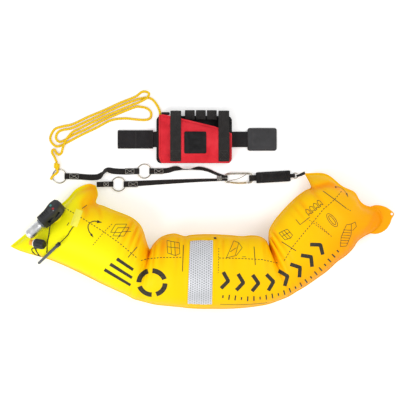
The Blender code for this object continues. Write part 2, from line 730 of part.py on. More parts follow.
def make_inflator():
    """The inflator: flange, body, windows, lever on its pin, piercing pin, seal and cartridge."""
    place = share_point(INFLATOR_SHARE)
    frame = skin_seat(place, INFLATOR_TURN, BODY_LENGTH / 2, BOSS_RADIUS, LEVEL_SHARE)
    holder = seat_empty("inflator_seat", frame)
    flange, rise = skin_pad(
        "inflator_flange", frame, FLANGE_RADIUS, FLANGE_THICKNESS, BOSS_RADIUS, finishes["skin"]
    )
    flange.parent = holder
    foot = rise + SEAT
    axis = foot + BODY_HEIGHT / 2
    top = foot + BODY_HEIGHT
    end = -0.52 * BODY_LENGTH

    body = plate("inflator_body", body_outline(), BODY_HEIGHT, finishes["dark_plastic"])
    body.location.z = axis
    body.parent = holder
    bevel(body, BODY_BEVEL, 3)
    for i in range(RIB_SLOTS):
        slot = box(
            f"rib_slot_{i + 1}",
            (RIB_SLOT_WIDTH, RIB_SLOT_LENGTH, RIB_SLOT_DEPTH + OVERRUN),
            (RIB_SLOT_START + i * RIB_SLOT_PITCH, SOCKET_SIDE, top - RIB_SLOT_DEPTH / 2 + OVERRUN / 2),
            finishes["black_plastic"],
        )
        slot.parent = holder
        cut(body, slot)
    for name, place, look in (
        ("status_window", GREEN_WINDOW, "green_window"),
        ("fired_window", RED_WINDOW, "red_window"),
    ):
        pocket = box(
            name + "_recess",
            (WINDOW_SIZE, WINDOW_SIZE, WINDOW_DEPTH + OVERRUN),
            (*place, top - WINDOW_DEPTH / 2 + OVERRUN / 2),
            finishes[look],
        )
        pocket.parent = holder
        cut(body, pocket)
        side = WINDOW_SIZE - 2 * SEAT
        pane = box(name, (side, side, WINDOW_DEPTH), (*place, top - WINDOW_DEPTH / 2 + SEAT), finishes[look])
        pane.parent = holder
        bevel(pane, WINDOW_DEPTH / 4, 1)

    slot_height = LEVER_THICKNESS + 2 * LEVER_SLOT_GAP
    slot_edge = LEVER_PIVOT_Y + LEVER_WIDTH / 2 + LEVER_SLOT_GAP
    arm_slot = box(
        "lever_arm_slot",
        (LEVER_REACH + 3 * LEVER_WIDTH, BODY_WIDTH, slot_height),
        (LEVER_PIVOT_X - LEVER_REACH / 2, slot_edge - BODY_WIDTH / 2, axis),
        finishes["black_plastic"],
    )
    cam_depth = LEVER_CAM + LEVER_WIDTH / 2 + 2 * LEVER_SLOT_GAP
    cam_slot = box(
        "lever_cam_slot",
        (LEVER_CAM + 2 * LEVER_WIDTH, cam_depth, slot_height),
        (LEVER_PIVOT_X - LEVER_CAM / 2, LEVER_PIVOT_Y + cam_depth / 2, axis),
        finishes["black_plastic"],
    )
    pin_hole = cylinder("lever_pin_hole", LEVER_PIN_DIAMETER + 2 * SEAT, BODY_HEIGHT, finishes["steel"], 16)
    pin_hole.location = (LEVER_PIVOT_X, LEVER_PIVOT_Y, axis + BODY_HEIGHT / 4)
    socket_depth = NECK_LENGTH + SEAL_THICKNESS + 3 * SEAT
    neck_hole = cylinder("neck_socket", NECK_DIAMETER + 2 * SEAT, 2 * socket_depth, finishes["steel"], 24)
    neck_hole.rotation_euler.y = math.pi / 2
    neck_hole.location = (end, SOCKET_SIDE, axis)
    bore_start = end + socket_depth - OVERRUN / 4
    bore_length = LEVER_PIVOT_X - bore_start
    pin_bore = cylinder("pin_bore", PIN_DIAMETER + 2 * PIN_BORE_GAP, bore_length, finishes["steel"], 16)
    pin_bore.rotation_euler.y = math.pi / 2
    pin_bore.location = (bore_start + bore_length / 2, SOCKET_SIDE, axis)
    for cutter in (arm_slot, cam_slot, pin_hole, neck_hole, pin_bore):
        cutter.parent = holder
        cut(body, cutter)

    half = LEVER_WIDTH / 2
    tip = (LEVER_REACH * math.cos(LEVER_ANGLE), LEVER_REACH * math.sin(LEVER_ANGLE))
    cam = LEVER_CAM - half

    def round_end(centre, first, last, count):
        """Points round a half-width circle, anticlockwise between two angles."""
        angles = np.linspace(first, last, count)
        return [(centre[0] + half * math.cos(a), centre[1] + half * math.sin(a)) for a in angles]

    quarter = math.pi / 2
    outline = round_end(tip, LEVER_ANGLE - quarter, LEVER_ANGLE + quarter, 7)
    outline += round_end((0, 0), LEVER_ANGLE + quarter - 2 * math.pi, 0, 4)
    outline += round_end((0, cam), 0, 2 * quarter, 6)
    outline += [(-half, half)]
    lever = plate("release_lever", outline, LEVER_THICKNESS, finishes["black_plastic"])
    eye_size = LEVER_PIN_DIAMETER + 2 * SEAT
    eye = cylinder("lever_eye", eye_size, LEVER_THICKNESS + OVERRUN, finishes["steel"], 16)
    for piece in (lever, eye):
        piece.location = (LEVER_PIVOT_X, LEVER_PIVOT_Y, axis)
        piece.parent = holder
    cut(lever, eye)
    pin_length = BODY_HEIGHT * 0.75 - SEAT - OVERRUN / 8
    lever_pin = cylinder("lever_pin", LEVER_PIN_DIAMETER, pin_length, finishes["steel"], 16)
    lever_pin.location = (LEVER_PIVOT_X, LEVER_PIVOT_Y, axis - BODY_HEIGHT / 4 + SEAT + pin_length / 2)
    lever_pin.parent = holder

    neck_end = end + NECK_LENGTH - 2 * SEAT
    seal_x = neck_end + SEAT
    pin_tip = neck_end + 2 * SEAT + PIN_TRAVEL
    pin_length = LEVER_PIVOT_X - half - SEAT - pin_tip
    ring, hole = NECK_DIAMETER / 2 - SEAT, PIN_DIAMETER / 2 + PIN_BORE_GAP
    seal = turned(
        "cartridge_seal",
        [(ring, SEAL_THICKNESS), (ring, 0), (hole, 0), (hole, SEAL_THICKNESS)],
        finishes["black_rubber"],
        20,
    )
    half_pin = PIN_DIAMETER / 2
    pin = turned(
        "piercing_pin",
        [(0, pin_length), (half_pin, pin_length), (half_pin, PIN_DIAMETER), (0, 0)],
        finishes["steel"],
        12,
    )
    shoulder = end - COLLAR_THICKNESS - 2 * SEAT
    round_end = CARTRIDGE_DIAMETER / 2
    neck = NECK_DIAMETER / 2
    crown = [
        (round_end * math.sin(a), round_end * 0.62 * (1 - math.cos(a)))
        for a in (math.radians(d) for d in (0, 22, 45, 66, 90))
    ]
    straight = CARTRIDGE_LENGTH - round_end * 0.35
    profile = [
        (0, CARTRIDGE_LENGTH + COLLAR_THICKNESS + NECK_LENGTH),
        (neck, CARTRIDGE_LENGTH + COLLAR_THICKNESS + NECK_LENGTH),
        (neck, CARTRIDGE_LENGTH),
        (round_end * 0.86, CARTRIDGE_LENGTH - SEAT),
        (round_end, straight),
        *crown[::-1],
    ]
    cartridge = turned("co2_cartridge", profile, finishes["steel"], 28)
    outer = round_end * 1.02
    collar = turned(
        "cartridge_collar",
        [
            (outer - BODY_BEVEL / 4, COLLAR_THICKNESS), (outer, COLLAR_THICKNESS / 2),
            (outer - BODY_BEVEL / 4, 0), (neck + SEAT, 0), (neck + SEAT, COLLAR_THICKNESS),
        ],
        finishes["grey_plastic"],
        28,
    )
    for piece, x in (
        (seal, seal_x),
        (pin, pin_tip),
        (cartridge, shoulder - CARTRIDGE_LENGTH),
        (collar, end - COLLAR_THICKNESS - SEAT),
    ):
        piece.rotation_euler.y = math.pi / 2
        piece.location = (x, SOCKET_SIDE, axis)
        piece.parent = holder
    return frame, axis


def make_valve():
    """The oral valve: base, tube, nozzle, stem, ribbed cap and the loop that tethers the cap."""
    place = share_point(INFLATOR_SHARE) + Vector((*VALVE_OFFSET, 0))
    frame = skin_seat(place, VALVE_TURN, CAP_LENGTH, CAP_DIAMETER / 4, LEVEL_SHARE)
    holder = seat_empty("valve_seat", frame)
    base, rise = skin_pad(
        "valve_base", frame, VALVE_BASE_RADIUS, FLANGE_THICKNESS, VALVE_BOSS_RADIUS, finishes["skin"]
    )
    axis = rise + SEAT + CAP_DIAMETER / 2
    tube_r, bore = TUBE_DIAMETER / 2, NOZZLE_BORE / 2
    nozzle_r, flange_r = NOZZLE_DIAMETER / 2, NOZZLE_FLANGE / 2
    tube = turned(
        "oral_tube",
        [
            (0, TUBE_LENGTH), (tube_r, TUBE_LENGTH), (tube_r, TUBE_LENGTH * 0.4),
            (tube_r * 1.12, TUBE_LENGTH * 0.15), (tube_r * 1.12, 0), (0, 0),
        ],
        finishes["orange_skin"],
        20,
    )
    flange_t = NOZZLE_LENGTH * 0.16
    body = turned(
        "valve_body",
        [
            (nozzle_r, NOZZLE_LENGTH), (nozzle_r, flange_t), (flange_r, flange_t), (flange_r, 0),
            (bore, 0), (bore, NOZZLE_LENGTH),
        ],
        finishes["white_plastic"],
        20,
    )
    stem_r = STEM_DIAMETER / 2
    stem = turned(
        "valve_stem",
        [
            (0, STEM_LENGTH), (stem_r * 0.6, STEM_LENGTH), (stem_r, STEM_LENGTH * 0.9),
            (stem_r, STEM_LENGTH * 0.6), (stem_r * 0.4, STEM_LENGTH * 0.5), (stem_r * 0.4, 0), (0, 0),
        ],
        finishes["grey_plastic"],
        16,
    )
    cap = make_ribbed_cap(nozzle_r)
    nozzle_x = TUBE_LENGTH + SEAT
    cap_x = nozzle_x + flange_t + SEAT
    stem_x = nozzle_x + NOZZLE_LENGTH - STEM_LENGTH - SEAT
    for piece, x in ((tube, 0), (body, nozzle_x), (stem, stem_x), (cap, cap_x)):
        piece.rotation_euler.y = math.pi / 2
        piece.location = (x - TUBE_LENGTH / 2, 0, axis)
        piece.parent = holder
    base.parent = holder

    loop_r = TETHER_RING / 2
    centre = Vector((-TETHER_RING * 0.4, -VALVE_BASE_RADIUS - TETHER_WIRE - loop_r, 0))
    path = []
    for i in range(19):
        angle = math.radians(75 + 330 * i / 18)
        x, y = centre.x + loop_r * math.cos(angle), centre.y + loop_r * math.sin(angle)
        path.append((x, y, under_frame(frame, x, y) + TETHER_WIRE / 2 + CLOTH_SEAT))
    neck_side = (nozzle_x - TUBE_LENGTH / 2 + flange_t / 2, -flange_r - TETHER_WIRE / 2 - SEAT, axis)
    lift = (path[-1][2] + axis) / 2
    path += [(neck_side[0], neck_side[1] - TETHER_WIRE / 2, lift), neck_side]
    path = [tuple(frame @ Vector(place)) for place in even_path(path, 26)]
    laid = lay_on_skin(path, TETHER_WIRE / 2 + CLOTH_SEAT)
    cord("cap_tether", laid, TETHER_WIRE, finishes["black_rubber"])


def make_ribbed_cap(nozzle_r):
    """The dust cap: a turned cup whose rim is fluted by ribs, about its own Z axis."""
    around = CAP_RIBS * 4
    radius = CAP_DIAMETER / 2

    def fluted(size, height, depth):
        points = []
        for i in range(around):
            angle = 2 * math.pi * i / around
            reach = size - (depth if i % 4 >= 2 else 0)
            points.append((reach * math.cos(angle), reach * math.sin(angle), height))
        return points

    bore = nozzle_r + SEAT
    rings = [
        fluted(bore * 0.5, CAP_BORE_DEPTH, 0),
        fluted(bore, CAP_BORE_DEPTH, 0),
        fluted(bore, 0, 0),
        fluted(radius * 0.88, 0, CAP_RIB_DEPTH / 2),
        fluted(radius, CAP_LENGTH * 0.08, CAP_RIB_DEPTH),
        fluted(radius, CAP_LENGTH * 0.78, CAP_RIB_DEPTH),
        fluted(radius * 0.86, CAP_LENGTH * 0.94, CAP_RIB_DEPTH / 2),
        fluted(radius * 0.70, CAP_LENGTH, 0),
        fluted(radius * 0.30, CAP_LENGTH, 0),
    ]
    return loft("valve_cap", rings, finishes["black_plastic"])


def make_pull_bar(inflator, lever_axis):
    """The pull bar with its end cap, and the cords to the release lever and to the pocket."""
    frame = skin_seat(share_point(BAR_SHARE), BAR_TURN, BAR_LENGTH * 0.30, BAR_DIAMETER / 2)
    holder = seat_empty("bar_seat", frame)
    cap_r = BAR_DIAMETER / 2 + SEAT + BAR_CAP_WALL
    axis = cap_r + SEAT
    outer, bore = BAR_DIAMETER / 2, BAR_BORE / 2
    bar = turned(
        "pull_bar",
        [(outer, BAR_LENGTH / 2), (outer, -BAR_LENGTH / 2), (bore, -BAR_LENGTH / 2), (bore, BAR_LENGTH / 2)],
        finishes["grey_plastic"],
        20,
    )
    inner = outer + SEAT
    cap = turned(
        "pull_bar_cap",
        [
            (0, BAR_CAP_LENGTH), (cap_r * 0.75, BAR_CAP_LENGTH), (cap_r, BAR_CAP_LENGTH * 0.88),
            (cap_r, 0), (inner, 0), (inner, BAR_CAP_GRIP), (0, BAR_CAP_GRIP),
        ],
        finishes["black_plastic"],
        20,
    )
    cap_start = BAR_LENGTH / 2 - BAR_CAP_GRIP + SEAT
    for piece, x in ((bar, 0), (cap, cap_start)):
        piece.rotation_euler.y = math.pi / 2
        piece.location = (x, 0, axis)
        piece.parent = holder

    clear = TRIGGER_CORD_DIAMETER / 2
    start = inflator @ Vector((
        LEVER_PIVOT_X + LEVER_REACH * math.cos(LEVER_ANGLE) - LEVER_WIDTH / 2 - clear,
        LEVER_PIVOT_Y + LEVER_REACH * math.sin(LEVER_ANGLE) - clear,
        lever_axis,
    ))
    bar_side = frame @ Vector((-BAR_LENGTH * 0.02, outer + TRIGGER_CORD_DIAMETER / 2 + SEAT, axis))
    reach = TRIGGER_CORD_DIAMETER / 2 + CLOTH_SEAT
    middle = start.lerp(bar_side, 0.5)
    middle.z = (skin_height(middle.x, middle.y) or 0) + reach
    path = lay_on_skin(even_path([start, start.lerp(middle, 0.4), middle, bar_side], 14), reach)
    cord("trigger_cord", path, TRIGGER_CORD_DIAMETER, finishes["black_cord"])

    reach = TETHER_CORD_DIAMETER / 2 + CLOTH_SEAT
    head = frame @ Vector((cap_start + BAR_CAP_LENGTH + 2 * SEAT, 0, axis))
    leave = frame @ Vector((cap_start + BAR_CAP_LENGTH + 2 * TETHER_CORD_DIAMETER, 0, axis))
    pocket = share_point(POCKET_SHARE)
    run = Vector((math.cos(POCKET_TURN), math.sin(POCKET_TURN), 0))
    mouth = pocket - run * (POCKET_LENGTH / 2 + 2 * SEAT)
    mouth.z = (skin_height(mouth.x, mouth.y) or 0) + reach
    bend = leave.lerp(mouth, 0.5) + run.cross(Vector((0, 0, 1))) * TETHER_CORD_DIAMETER
    bend.z = (skin_height(bend.x, bend.y) or 0) + reach
    path = lay_on_skin(even_path([head, leave, bend, mouth], 14), reach)
    cord("bar_tether", path, TETHER_CORD_DIAMETER, finishes["black_cord"])


def wire_end(item, away):
    """A strap's end at a wire: its lower run, then points in below, round the wire and back above.

    item holds the wire's centre, the level heading out of the strap, the wire's diameter, the room
    for a curved wire and the tail's share of its full length. away runs from the strap's other end.
    That room is level, but a steep strap takes it in line with its run.
    """
    centre, level, wire, sag, tail_share = item
    rise = away.normalized().z
    heading = Vector(level) * math.sqrt(1 - rise**2) + Vector((0, 0, rise))
    up = (Vector((0, 0, 1)) - heading * heading.z).normalized()
    base = Vector(centre)
    reach = wire / 2 + SEAT + WEBBING / 2
    points = [base - up * reach]
    hub = base + (heading if abs(rise) > STEEP_SHARE else Vector(level)) * sag
    for i in range(7):
        angle = math.radians(-90 + 30 * i)
        points.append(hub + heading * (reach * math.cos(angle)) + up * (reach * math.sin(angle)))
    lap = base - up * (reach - WEBBING - SEAT)
    points.append(base + up * reach - heading * (wire / 2))
    points.append(lap - heading * (wire + 4 * WEBBING))
    points.append(lap - heading * (TAIL_LENGTH * tail_share))
    return points


def webbing_between(name, start, end, middle, widths, material, steps=14):
    """A strap between its two ends, each sewn round a wire as in wire_end, or a plain point.

    middle holds shares: the place along, the sway as a share of the length, the lift as a share of
    the width, and the roll in degrees. widths are those at the two ends.
    """
    a = Vector(start if len(start) == 3 else start[0])
    b = Vector(end if len(end) == 3 else end[0])
    for _ in range(3):
        away = b - a
        first = [a] if len(start) == 3 else wire_end(start, -away)
        last = [b] if len(end) == 3 else wire_end(end, away)
        a, b = first[0], last[0]
    chord = b - a
    across = chord.cross(Vector((0, 0, 1))).normalized()
    lay = []
    for along, sway, lift, roll in ((0, 0, 0, 0), *middle, (1, 0, 0, 0)):
        place = a.lerp(b, along) - across * (sway * chord.length)
        place.z += lift * max(widths)
        lay.append((*place, roll, along))
    lay = np.array(lay)
    path = even_path(lay[:, :3], steps)
    stops = np.linspace(0, 1, steps)
    rolls = np.radians(np.interp(stops, lay[:, 4], lay[:, 3]))
    heads = directions(path)
    sides = np.cross(heads, np.array([0, 0, 1.0]))
    sides /= np.linalg.norm(sides, axis=1)[:, None]
    ups = np.cross(sides, heads)
    sides = sides * np.cos(rolls)[:, None] + ups * np.sin(rolls)[:, None]
    spread = np.interp(stops, (0, 1), widths)
    path[:, 2] = np.maximum(path[:, 2], WEBBING / 2 + spread / 2 * np.abs(np.sin(rolls)))
    rows = [(path[i], sides[i], spread[i]) for i in range(steps)]
    if len(last) > 1:
        side = Vector(end[1]).cross(Vector((0, 0, 1)))
        rows = rows[:-1] + [(point, side, widths[1]) for point in last]
    if len(first) > 1:
        side = Vector((0, 0, 1)).cross(Vector(start[1]))
        rows = [(point, side, widths[0]) for point in first][::-1] + rows[1:]
    centres, sides = (np.array([tuple(row[k]) for row in rows]) for k in range(2))
    return ribbon(name, centres, sides, [row[2] for row in rows], WEBBING, material)


def ribbon(name, centres, sides, widths, thickness, material):
    """A flat strap through its centres, as wide as each row says, with its own thickness.

    Its two broad sides are split along the same diagonals, so that they stay apart where it twists.
    """
    heads = directions(centres)
    normals = np.cross(sides, heads)
    normals /= np.linalg.norm(normals, axis=1)[:, None]
    half = np.asarray(widths)[:, None] / 2
    lift = normals * thickness / 2
    corners = [
        centres - sides * half - lift, centres + sides * half - lift,
        centres + sides * half + lift, centres - sides * half + lift,
    ]
    points = np.stack(corners, axis=1).reshape(-1, 3)
    last = len(points) - 4
    faces = [(3, 2, 1, 0), (last, last + 1, last + 2, last + 3)]
    for i in range(0, last, 4):
        n = i + 4
        faces += [(i, i + 1, n + 1), (i, n + 1, n), (i + 1, i + 2, n + 2, n + 1)]
        faces += [(i + 2, i + 3, n + 2), (i + 3, n + 3, n + 2), (i + 3, i, n, n + 3)]
    return closed_mesh(name, points, faces, material, smooth=False)


def wire_ring(name, centre, diameter, wire, material):
    """A round ring of wire, about its own Z axis."""
    middle = (diameter - wire) / 2
    rings = []
    for i in range(28):
        angle = 2 * math.pi * i / 28
        ring = []
        for j in range(8):
            turn = 2 * math.pi * j / 8
            reach = middle + wire / 2 * math.cos(turn)
            ring.append((reach * math.cos(angle), reach * math.sin(angle), wire / 2 * math.sin(turn)))
        rings.append(ring)
    piece = hoop(name, rings, material)
    piece.location = centre
    return piece


def ring_sag(diameter, wire, width):
    """How far a ring's wire curves away over the width of a strap."""
    radius = diameter / 2 - wire
    return radius - math.sqrt(radius**2 - (width / 2) ** 2)


def make_leash():
    """Rings, webbing, spring hook, padded sleeve and the D-ring between the bladder's ears."""
    steel, black = finishes["steel"], finishes["webbing"]
    left_ear = Vector(bladder_ring(0)[0])
    right_ear = Vector(bladder_ring(len(STATION_SHARES) - 1)[0])
    lift = RING_LIFT
    mid = (RING_DIAMETER - RING_WIRE) / 2
    sag = ring_sag(RING_DIAMETER, RING_WIRE, WEBBING_WIDTH)
    ring_1 = Vector((left_ear.x + EAR_STRAP_REACH + RING_DIAMETER / 2, left_ear.y + RING_WIRE, lift))
    ring_2 = ring_1 + Vector((RING_2_FORWARD, RING_2_ACROSS, 0))
    ring_3 = ring_2 - Vector((RING_3_BACK, RING_3_ACROSS, 0))
    for number, place in enumerate((ring_1, ring_2, ring_3), 1):
        wire_ring(f"leash_ring_{number}", place, RING_DIAMETER, RING_WIRE, steel)

    # Hook, sleeve and D-ring are laid back from the right ear
    hook_lift = LEASH_LIFT + WEBBING + SEAT + HOOK_ROD / 2
    d_centre = Vector((right_ear.x - RIGHT_STRAP_REACH, right_ear.y - RIGHT_STRAP_DROP, 0))
    d_lift = LEASH_LIFT + WEBBING + SEAT + D_RING_WIRE / 2
    d_bar = Vector((d_centre.x - D_RING_DEPTH / 2, d_centre.y, d_lift))
    sleeve_end = d_bar.x - D_RING_WIRE - HOOK_TO_SLEEVE
    hook_x = sleeve_end - SLEEVE_LENGTH - HOOK_TO_SLEEVE - HOOK_ROD
    hook_right = Vector((hook_x, d_centre.y - SLEEVE_DROP, hook_lift))
    hook = hook_right - Vector((HOOK_LENGTH / 2 - HOOK_ROD / 2, 0, 0))
    make_hook(hook)
    make_d_ring(d_bar)

    ear_sag = ring_sag(RING_DIAMETER, RING_WIRE, EAR_WEBBING_WIDTH)
    forward, back = Vector((1, 0, 0)), Vector((-1, 0, 0))
    left_start = left_ear + Vector((*EAR_STRAP_START, -SKIN))
    webbing_between(
        "ear_strap_left",
        left_start,
        (ring_1 + back * mid, forward, RING_WIRE, ear_sag, 0.7),
        (),
        (EAR_WEBBING_WIDTH, EAR_WEBBING_WIDTH),
        black, 6,
    )
    hook_left = hook + back * (HOOK_LENGTH / 2 - HOOK_ROD / 2)
    spread = Vector((0, NARROW_WEBBING_WIDTH / 2 + CLOTH_SEAT, 0))
    webbing_between(
        "leash_strap_lower",
        (ring_1 + forward * mid, back, RING_WIRE, sag, 1),
        (hook_left - spread, forward, HOOK_ROD, HOOK_ROD / 4, 0.7),
        ((0.16, 0.002, 0, 0), (0.45, 0.004, 0, 0), (0.72, 0.004, 0, 0), (0.9, 0.001, 0, 0)),
        (WEBBING_WIDTH, NARROW_WEBBING_WIDTH),
        black, 16,
    )
    webbing_between(
        "leash_strap_upper",
        (ring_2 + forward * mid, back, RING_WIRE, sag, 1),
        (hook_left + spread, forward, HOOK_ROD, HOOK_ROD / 4, 0.7),
        (
            (0.2, 0.022, 0, 0), (0.32, 0.060, 0.15, 0), (0.42, 0.058, 0.35, 75),
            (0.52, 0.066, 0.35, 80), (0.64, 0.086, 0.10, 10), (0.76, 0.070, 0, 0), (0.88, 0.030, 0, 0),
        ),
        (WEBBING_WIDTH, NARROW_WEBBING_WIDTH),
        black, 48,
    )
    webbing_between(
        "leash_strap_end",
        (ring_3 + forward * mid, back, RING_WIRE, sag, 1),
        (ring_2 + back * mid, forward, RING_WIRE, sag, 1),
        (
            (0.20, -0.022, 0, 0), (0.33, -0.040, 0.02, 0), (0.45, -0.040, 0.2, 15),
            (0.52, 0.010, 0.40, 60), (0.58, 0.046, 0.25, 40), (0.68, 0.022, 0.02, 0), (0.85, 0.004, 0, 0),
        ),
        (WEBBING_WIDTH, WEBBING_WIDTH),
        black, 48,
    )
    slope = math.atan2(SLEEVE_DROP, d_bar.x - hook_right.x)
    run = Vector((math.cos(slope), math.sin(slope), 0))
    webbing_between(
        "sleeve_webbing",
        (hook_right, -run, HOOK_ROD, HOOK_ROD / 2, 1),
        (d_bar, run, D_RING_WIRE, SEAT, 0.6),
        (),
        (WEBBING_WIDTH, D_RING_SPAN - 2 * D_RING_WIRE - 4 * SEAT),
        black, 10,
    )
    make_sleeve_cover(hook_right, d_bar, slope)
    d_nose = d_bar + forward * (D_RING_DEPTH - D_RING_WIRE)
    nose_width = D_RING_SPAN * 0.36
    nose_sag = ring_sag(D_RING_SPAN, D_RING_WIRE, nose_width) + 2 * SEAT
    webbing_between(
        "ear_strap_right",
        (d_nose, back, D_RING_WIRE + 2 * SEAT, nose_sag, 0.3),
        right_ear - Vector((EAR_STRAP_START[0] * 0.75, 0, SKIN)),
        (),
        (nose_width, SMALL_EAR_WEBBING_WIDTH),
        black, 6,
    )
    return ring_3


def bent_rod(name, points, diameter, material, count, sides=8):
    """A round rod along a smooth path in a level plane, as one closed body."""
    path = even_path(points, count)
    heads = directions(path)
    outs = np.cross(heads, np.array([0, 0, 1.0]))
    rings = []
    for place, out in zip(path, outs):
        ring = []
        for j in range(sides):
            turn = 2 * math.pi * j / sides
            ring.append(place + diameter / 2 * (out * math.cos(turn) + np.array([0, 0, math.sin(turn)])))
        rings.append(ring)
    return loft(name, rings, material)


def make_hook(centre):
    """The spring hook: a bent rod, a sprung gate on its pin and the keeper wire across it."""
    half_l, half_w = (HOOK_LENGTH - HOOK_ROD) / 2, (HOOK_WIDTH - HOOK_ROD) / 2
    shares = (
        NOSE_SHARE, (-0.86, -0.82), (-0.985, -0.62), (-1.0, -0.35), (-1.0, 0.35), (-0.985, 0.62),
        (-0.87, 0.86), (-0.6, 0.97), (0, 1.0), (0.62, 1.0), (0.87, 0.94), (0.985, 0.74), (1.0, 0.45),
        (1.0, -0.45), (0.985, -0.72), (0.89, -0.90), PIVOT_SHARE,
    )
    steel = finishes["steel"]
    body = bent_rod("hook_body", [(x * half_l, y * half_w, 0) for x, y in shares], HOOK_ROD, steel, 44)
    body.location = centre
    pivot = Vector((PIVOT_SHARE[0] * half_l - GATE_GAP, PIVOT_SHARE[1] * half_w, 0))
    nose = Vector((NOSE_SHARE[0] * half_l + CLOTH_SEAT, NOSE_SHARE[1] * half_w, 0))
    swell = Vector((0, -GATE_BULGE, 0))
    chord = nose - pivot
    line = [chord * s + swell * math.sin(math.pi * s) for s in (0, 0.25, 0.5, 0.75, 1)]
    gate = bent_rod("hook_gate", line, GATE_ROD, finishes["brass"], 10)
    gate.location = centre + pivot
    hole = cylinder("gate_pin_hole", GATE_PIN_DIAMETER + 2 * SEAT, GATE_ROD + OVERRUN, steel, 12)
    hole.location = centre + pivot + chord.normalized() * GATE_ROD
    cut(gate, hole)
    settle(gate, hole.location)
    pin = cylinder("gate_pin", GATE_PIN_DIAMETER, GATE_ROD + 2 * CLOTH_SEAT, steel, 12)
    pin.location = hole.location
    rise = HOOK_ROD / 2 + SEAT + KEEPER_WIRE / 2
    keeper_shares = ((-0.93, -0.80), (-0.5, -0.42), (0.0, -0.10), (0.42, 0.5), (0.64, 0.98))
    wire = [(x * half_l, y * half_w, rise) for x, y in keeper_shares]
    keeper = bent_rod("hook_keeper", wire, KEEPER_WIRE, steel, 12, 6)
    keeper.location = centre


def make_d_ring(bar):
    """The small D-ring: a straight bar with a bow, closed on itself."""
    half = (D_RING_SPAN - D_RING_WIRE) / 2
    depth = D_RING_DEPTH - D_RING_WIRE
    outline = [(0, -half * s) for s in (0.7, 0.35, 0, -0.35, -0.7)]
    outline += [(0.10 * depth, half)]
    for angle in np.radians((62, 36, 12, -12, -36, -62)):
        outline.append((depth * (0.35 + 0.65 * math.cos(angle)), half * math.sin(angle)))
    outline += [(0.10 * depth, -half)]
    rings = []
    count = len(outline)
    for i, (x, y) in enumerate(outline):
        before, after = outline[i - 1], outline[(i + 1) % count]
        head = Vector((after[0] - before[0], after[1] - before[1], 0)).normalized()
        out = head.cross(Vector((0, 0, 1)))
        ring = []
        for j in range(8):
            turn = 2 * math.pi * j / 8
            reach = out * math.cos(turn) + Vector((0, 0, math.sin(turn)))
            ring.append(Vector((x, y, 0)) + D_RING_WIRE / 2 * reach)
        rings.append(ring)
    ring = hoop("d_ring", rings, finishes["steel"])
    ring.location = bar


def make_sleeve_cover(start, end, slope):
    """The padded sleeve over the webbing: a flat tube with round edges."""
    run = Vector((math.cos(slope), math.sin(slope), 0))
    side = Vector((-math.sin(slope), math.cos(slope), 0))
    first = Vector((start.x, start.y, 0)) + run * (HOOK_TO_SLEEVE + HOOK_ROD)
    inner_w, inner_h = WEBBING_WIDTH + 4 * SEAT, SLEEVE_THICKNESS - 2 * SLEEVE_WALL

    def section(place, width, height, low):
        radius = min(height / 2, width / 2)
        ring = []
        for i in range(16):
            angle = 2 * math.pi * (i + 0.5) / 16
            y = (width / 2 - radius) * (1 if math.cos(angle) > 0 else -1) + radius * math.cos(angle)
            z = low + height / 2 + height / 2 * math.sin(angle)
            ring.append(place + side * y + Vector((0, 0, z)))
        return ring

    outer, inner = [], []
    for i in range(7):
        place = first + run * (SLEEVE_LENGTH * i / 6)
        swell = 1 if 0 < i < 6 else 0.94
        outer.append(section(place, SLEEVE_WIDTH * swell, SLEEVE_THICKNESS, 0))
        inner.append(section(place, inner_w + inner_h, inner_h, SLEEVE_WALL))
    hoop("sleeve_cover", outer + inner[::-1], finishes["black_fabric"])


def pouch_mouth(x):
    """The height of the pouch's front edge, which slants down across the pouch."""
    share = (x - POUCH_X) / POUCH_WIDTH + 0.5
    drop = np.interp(share, (0, 0.10, 0.75, 1), (0, 0.06, 0.66, 1))
    return POUCH_HIGH_SIDE + (POUCH_LOW_SIDE - POUCH_HIGH_SIDE) * drop


def pouch_section(level, shrink, floor, lift):
    """A ring of the pouch at a share of its height: flat behind, crowned in front, round at the sides."""
    half = POUCH_WIDTH / 2 - shrink
    edge = POUCH_EDGE_DEPTH - 2 * shrink
    crown = POUCH_DEPTH - POUCH_EDGE_DEPTH
    swell = 1 - abs(2 * level - 0.9) ** 2.5 * 0.55
    tuck = 1 - 0.07 * max(0, 1 - level * 6) ** 2
    shares = [(side, 0) for side in (-0.96, -0.5, 0, 0.5, 0.96)]
    shares += [(1, 0.12), (1, 0.55), (0.985, 0.85)]
    shares += [(side, 1) for side in (0.93, 0.7, 0.45, 0.2, 0, -0.2, -0.45, -0.7, -0.93)]
    shares += [(-0.985, 0.85), (-1, 0.55), (-1, 0.12)]
    ring = []
    for across, up in shares:
        x = POUCH_X + across * half * tuck
        bulge = crown * max(0, 1 - abs(across / 0.93) ** 2.2) * swell if up == 1 else 0
        z = lift + shrink + up * edge * (0.8 + 0.2 * swell) + bulge
        y = POUCH_Y + floor + level * (pouch_mouth(x) - floor)
        ring.append((x, y, z))
    return ring


def belt_levels():
    """Heights of the layers under the pouch: the keepers, the belt and the back panel."""
    belt = KEEPER_THICKNESS + SEAT
    panel = belt + BELT_THICKNESS + SEAT
    return belt, panel


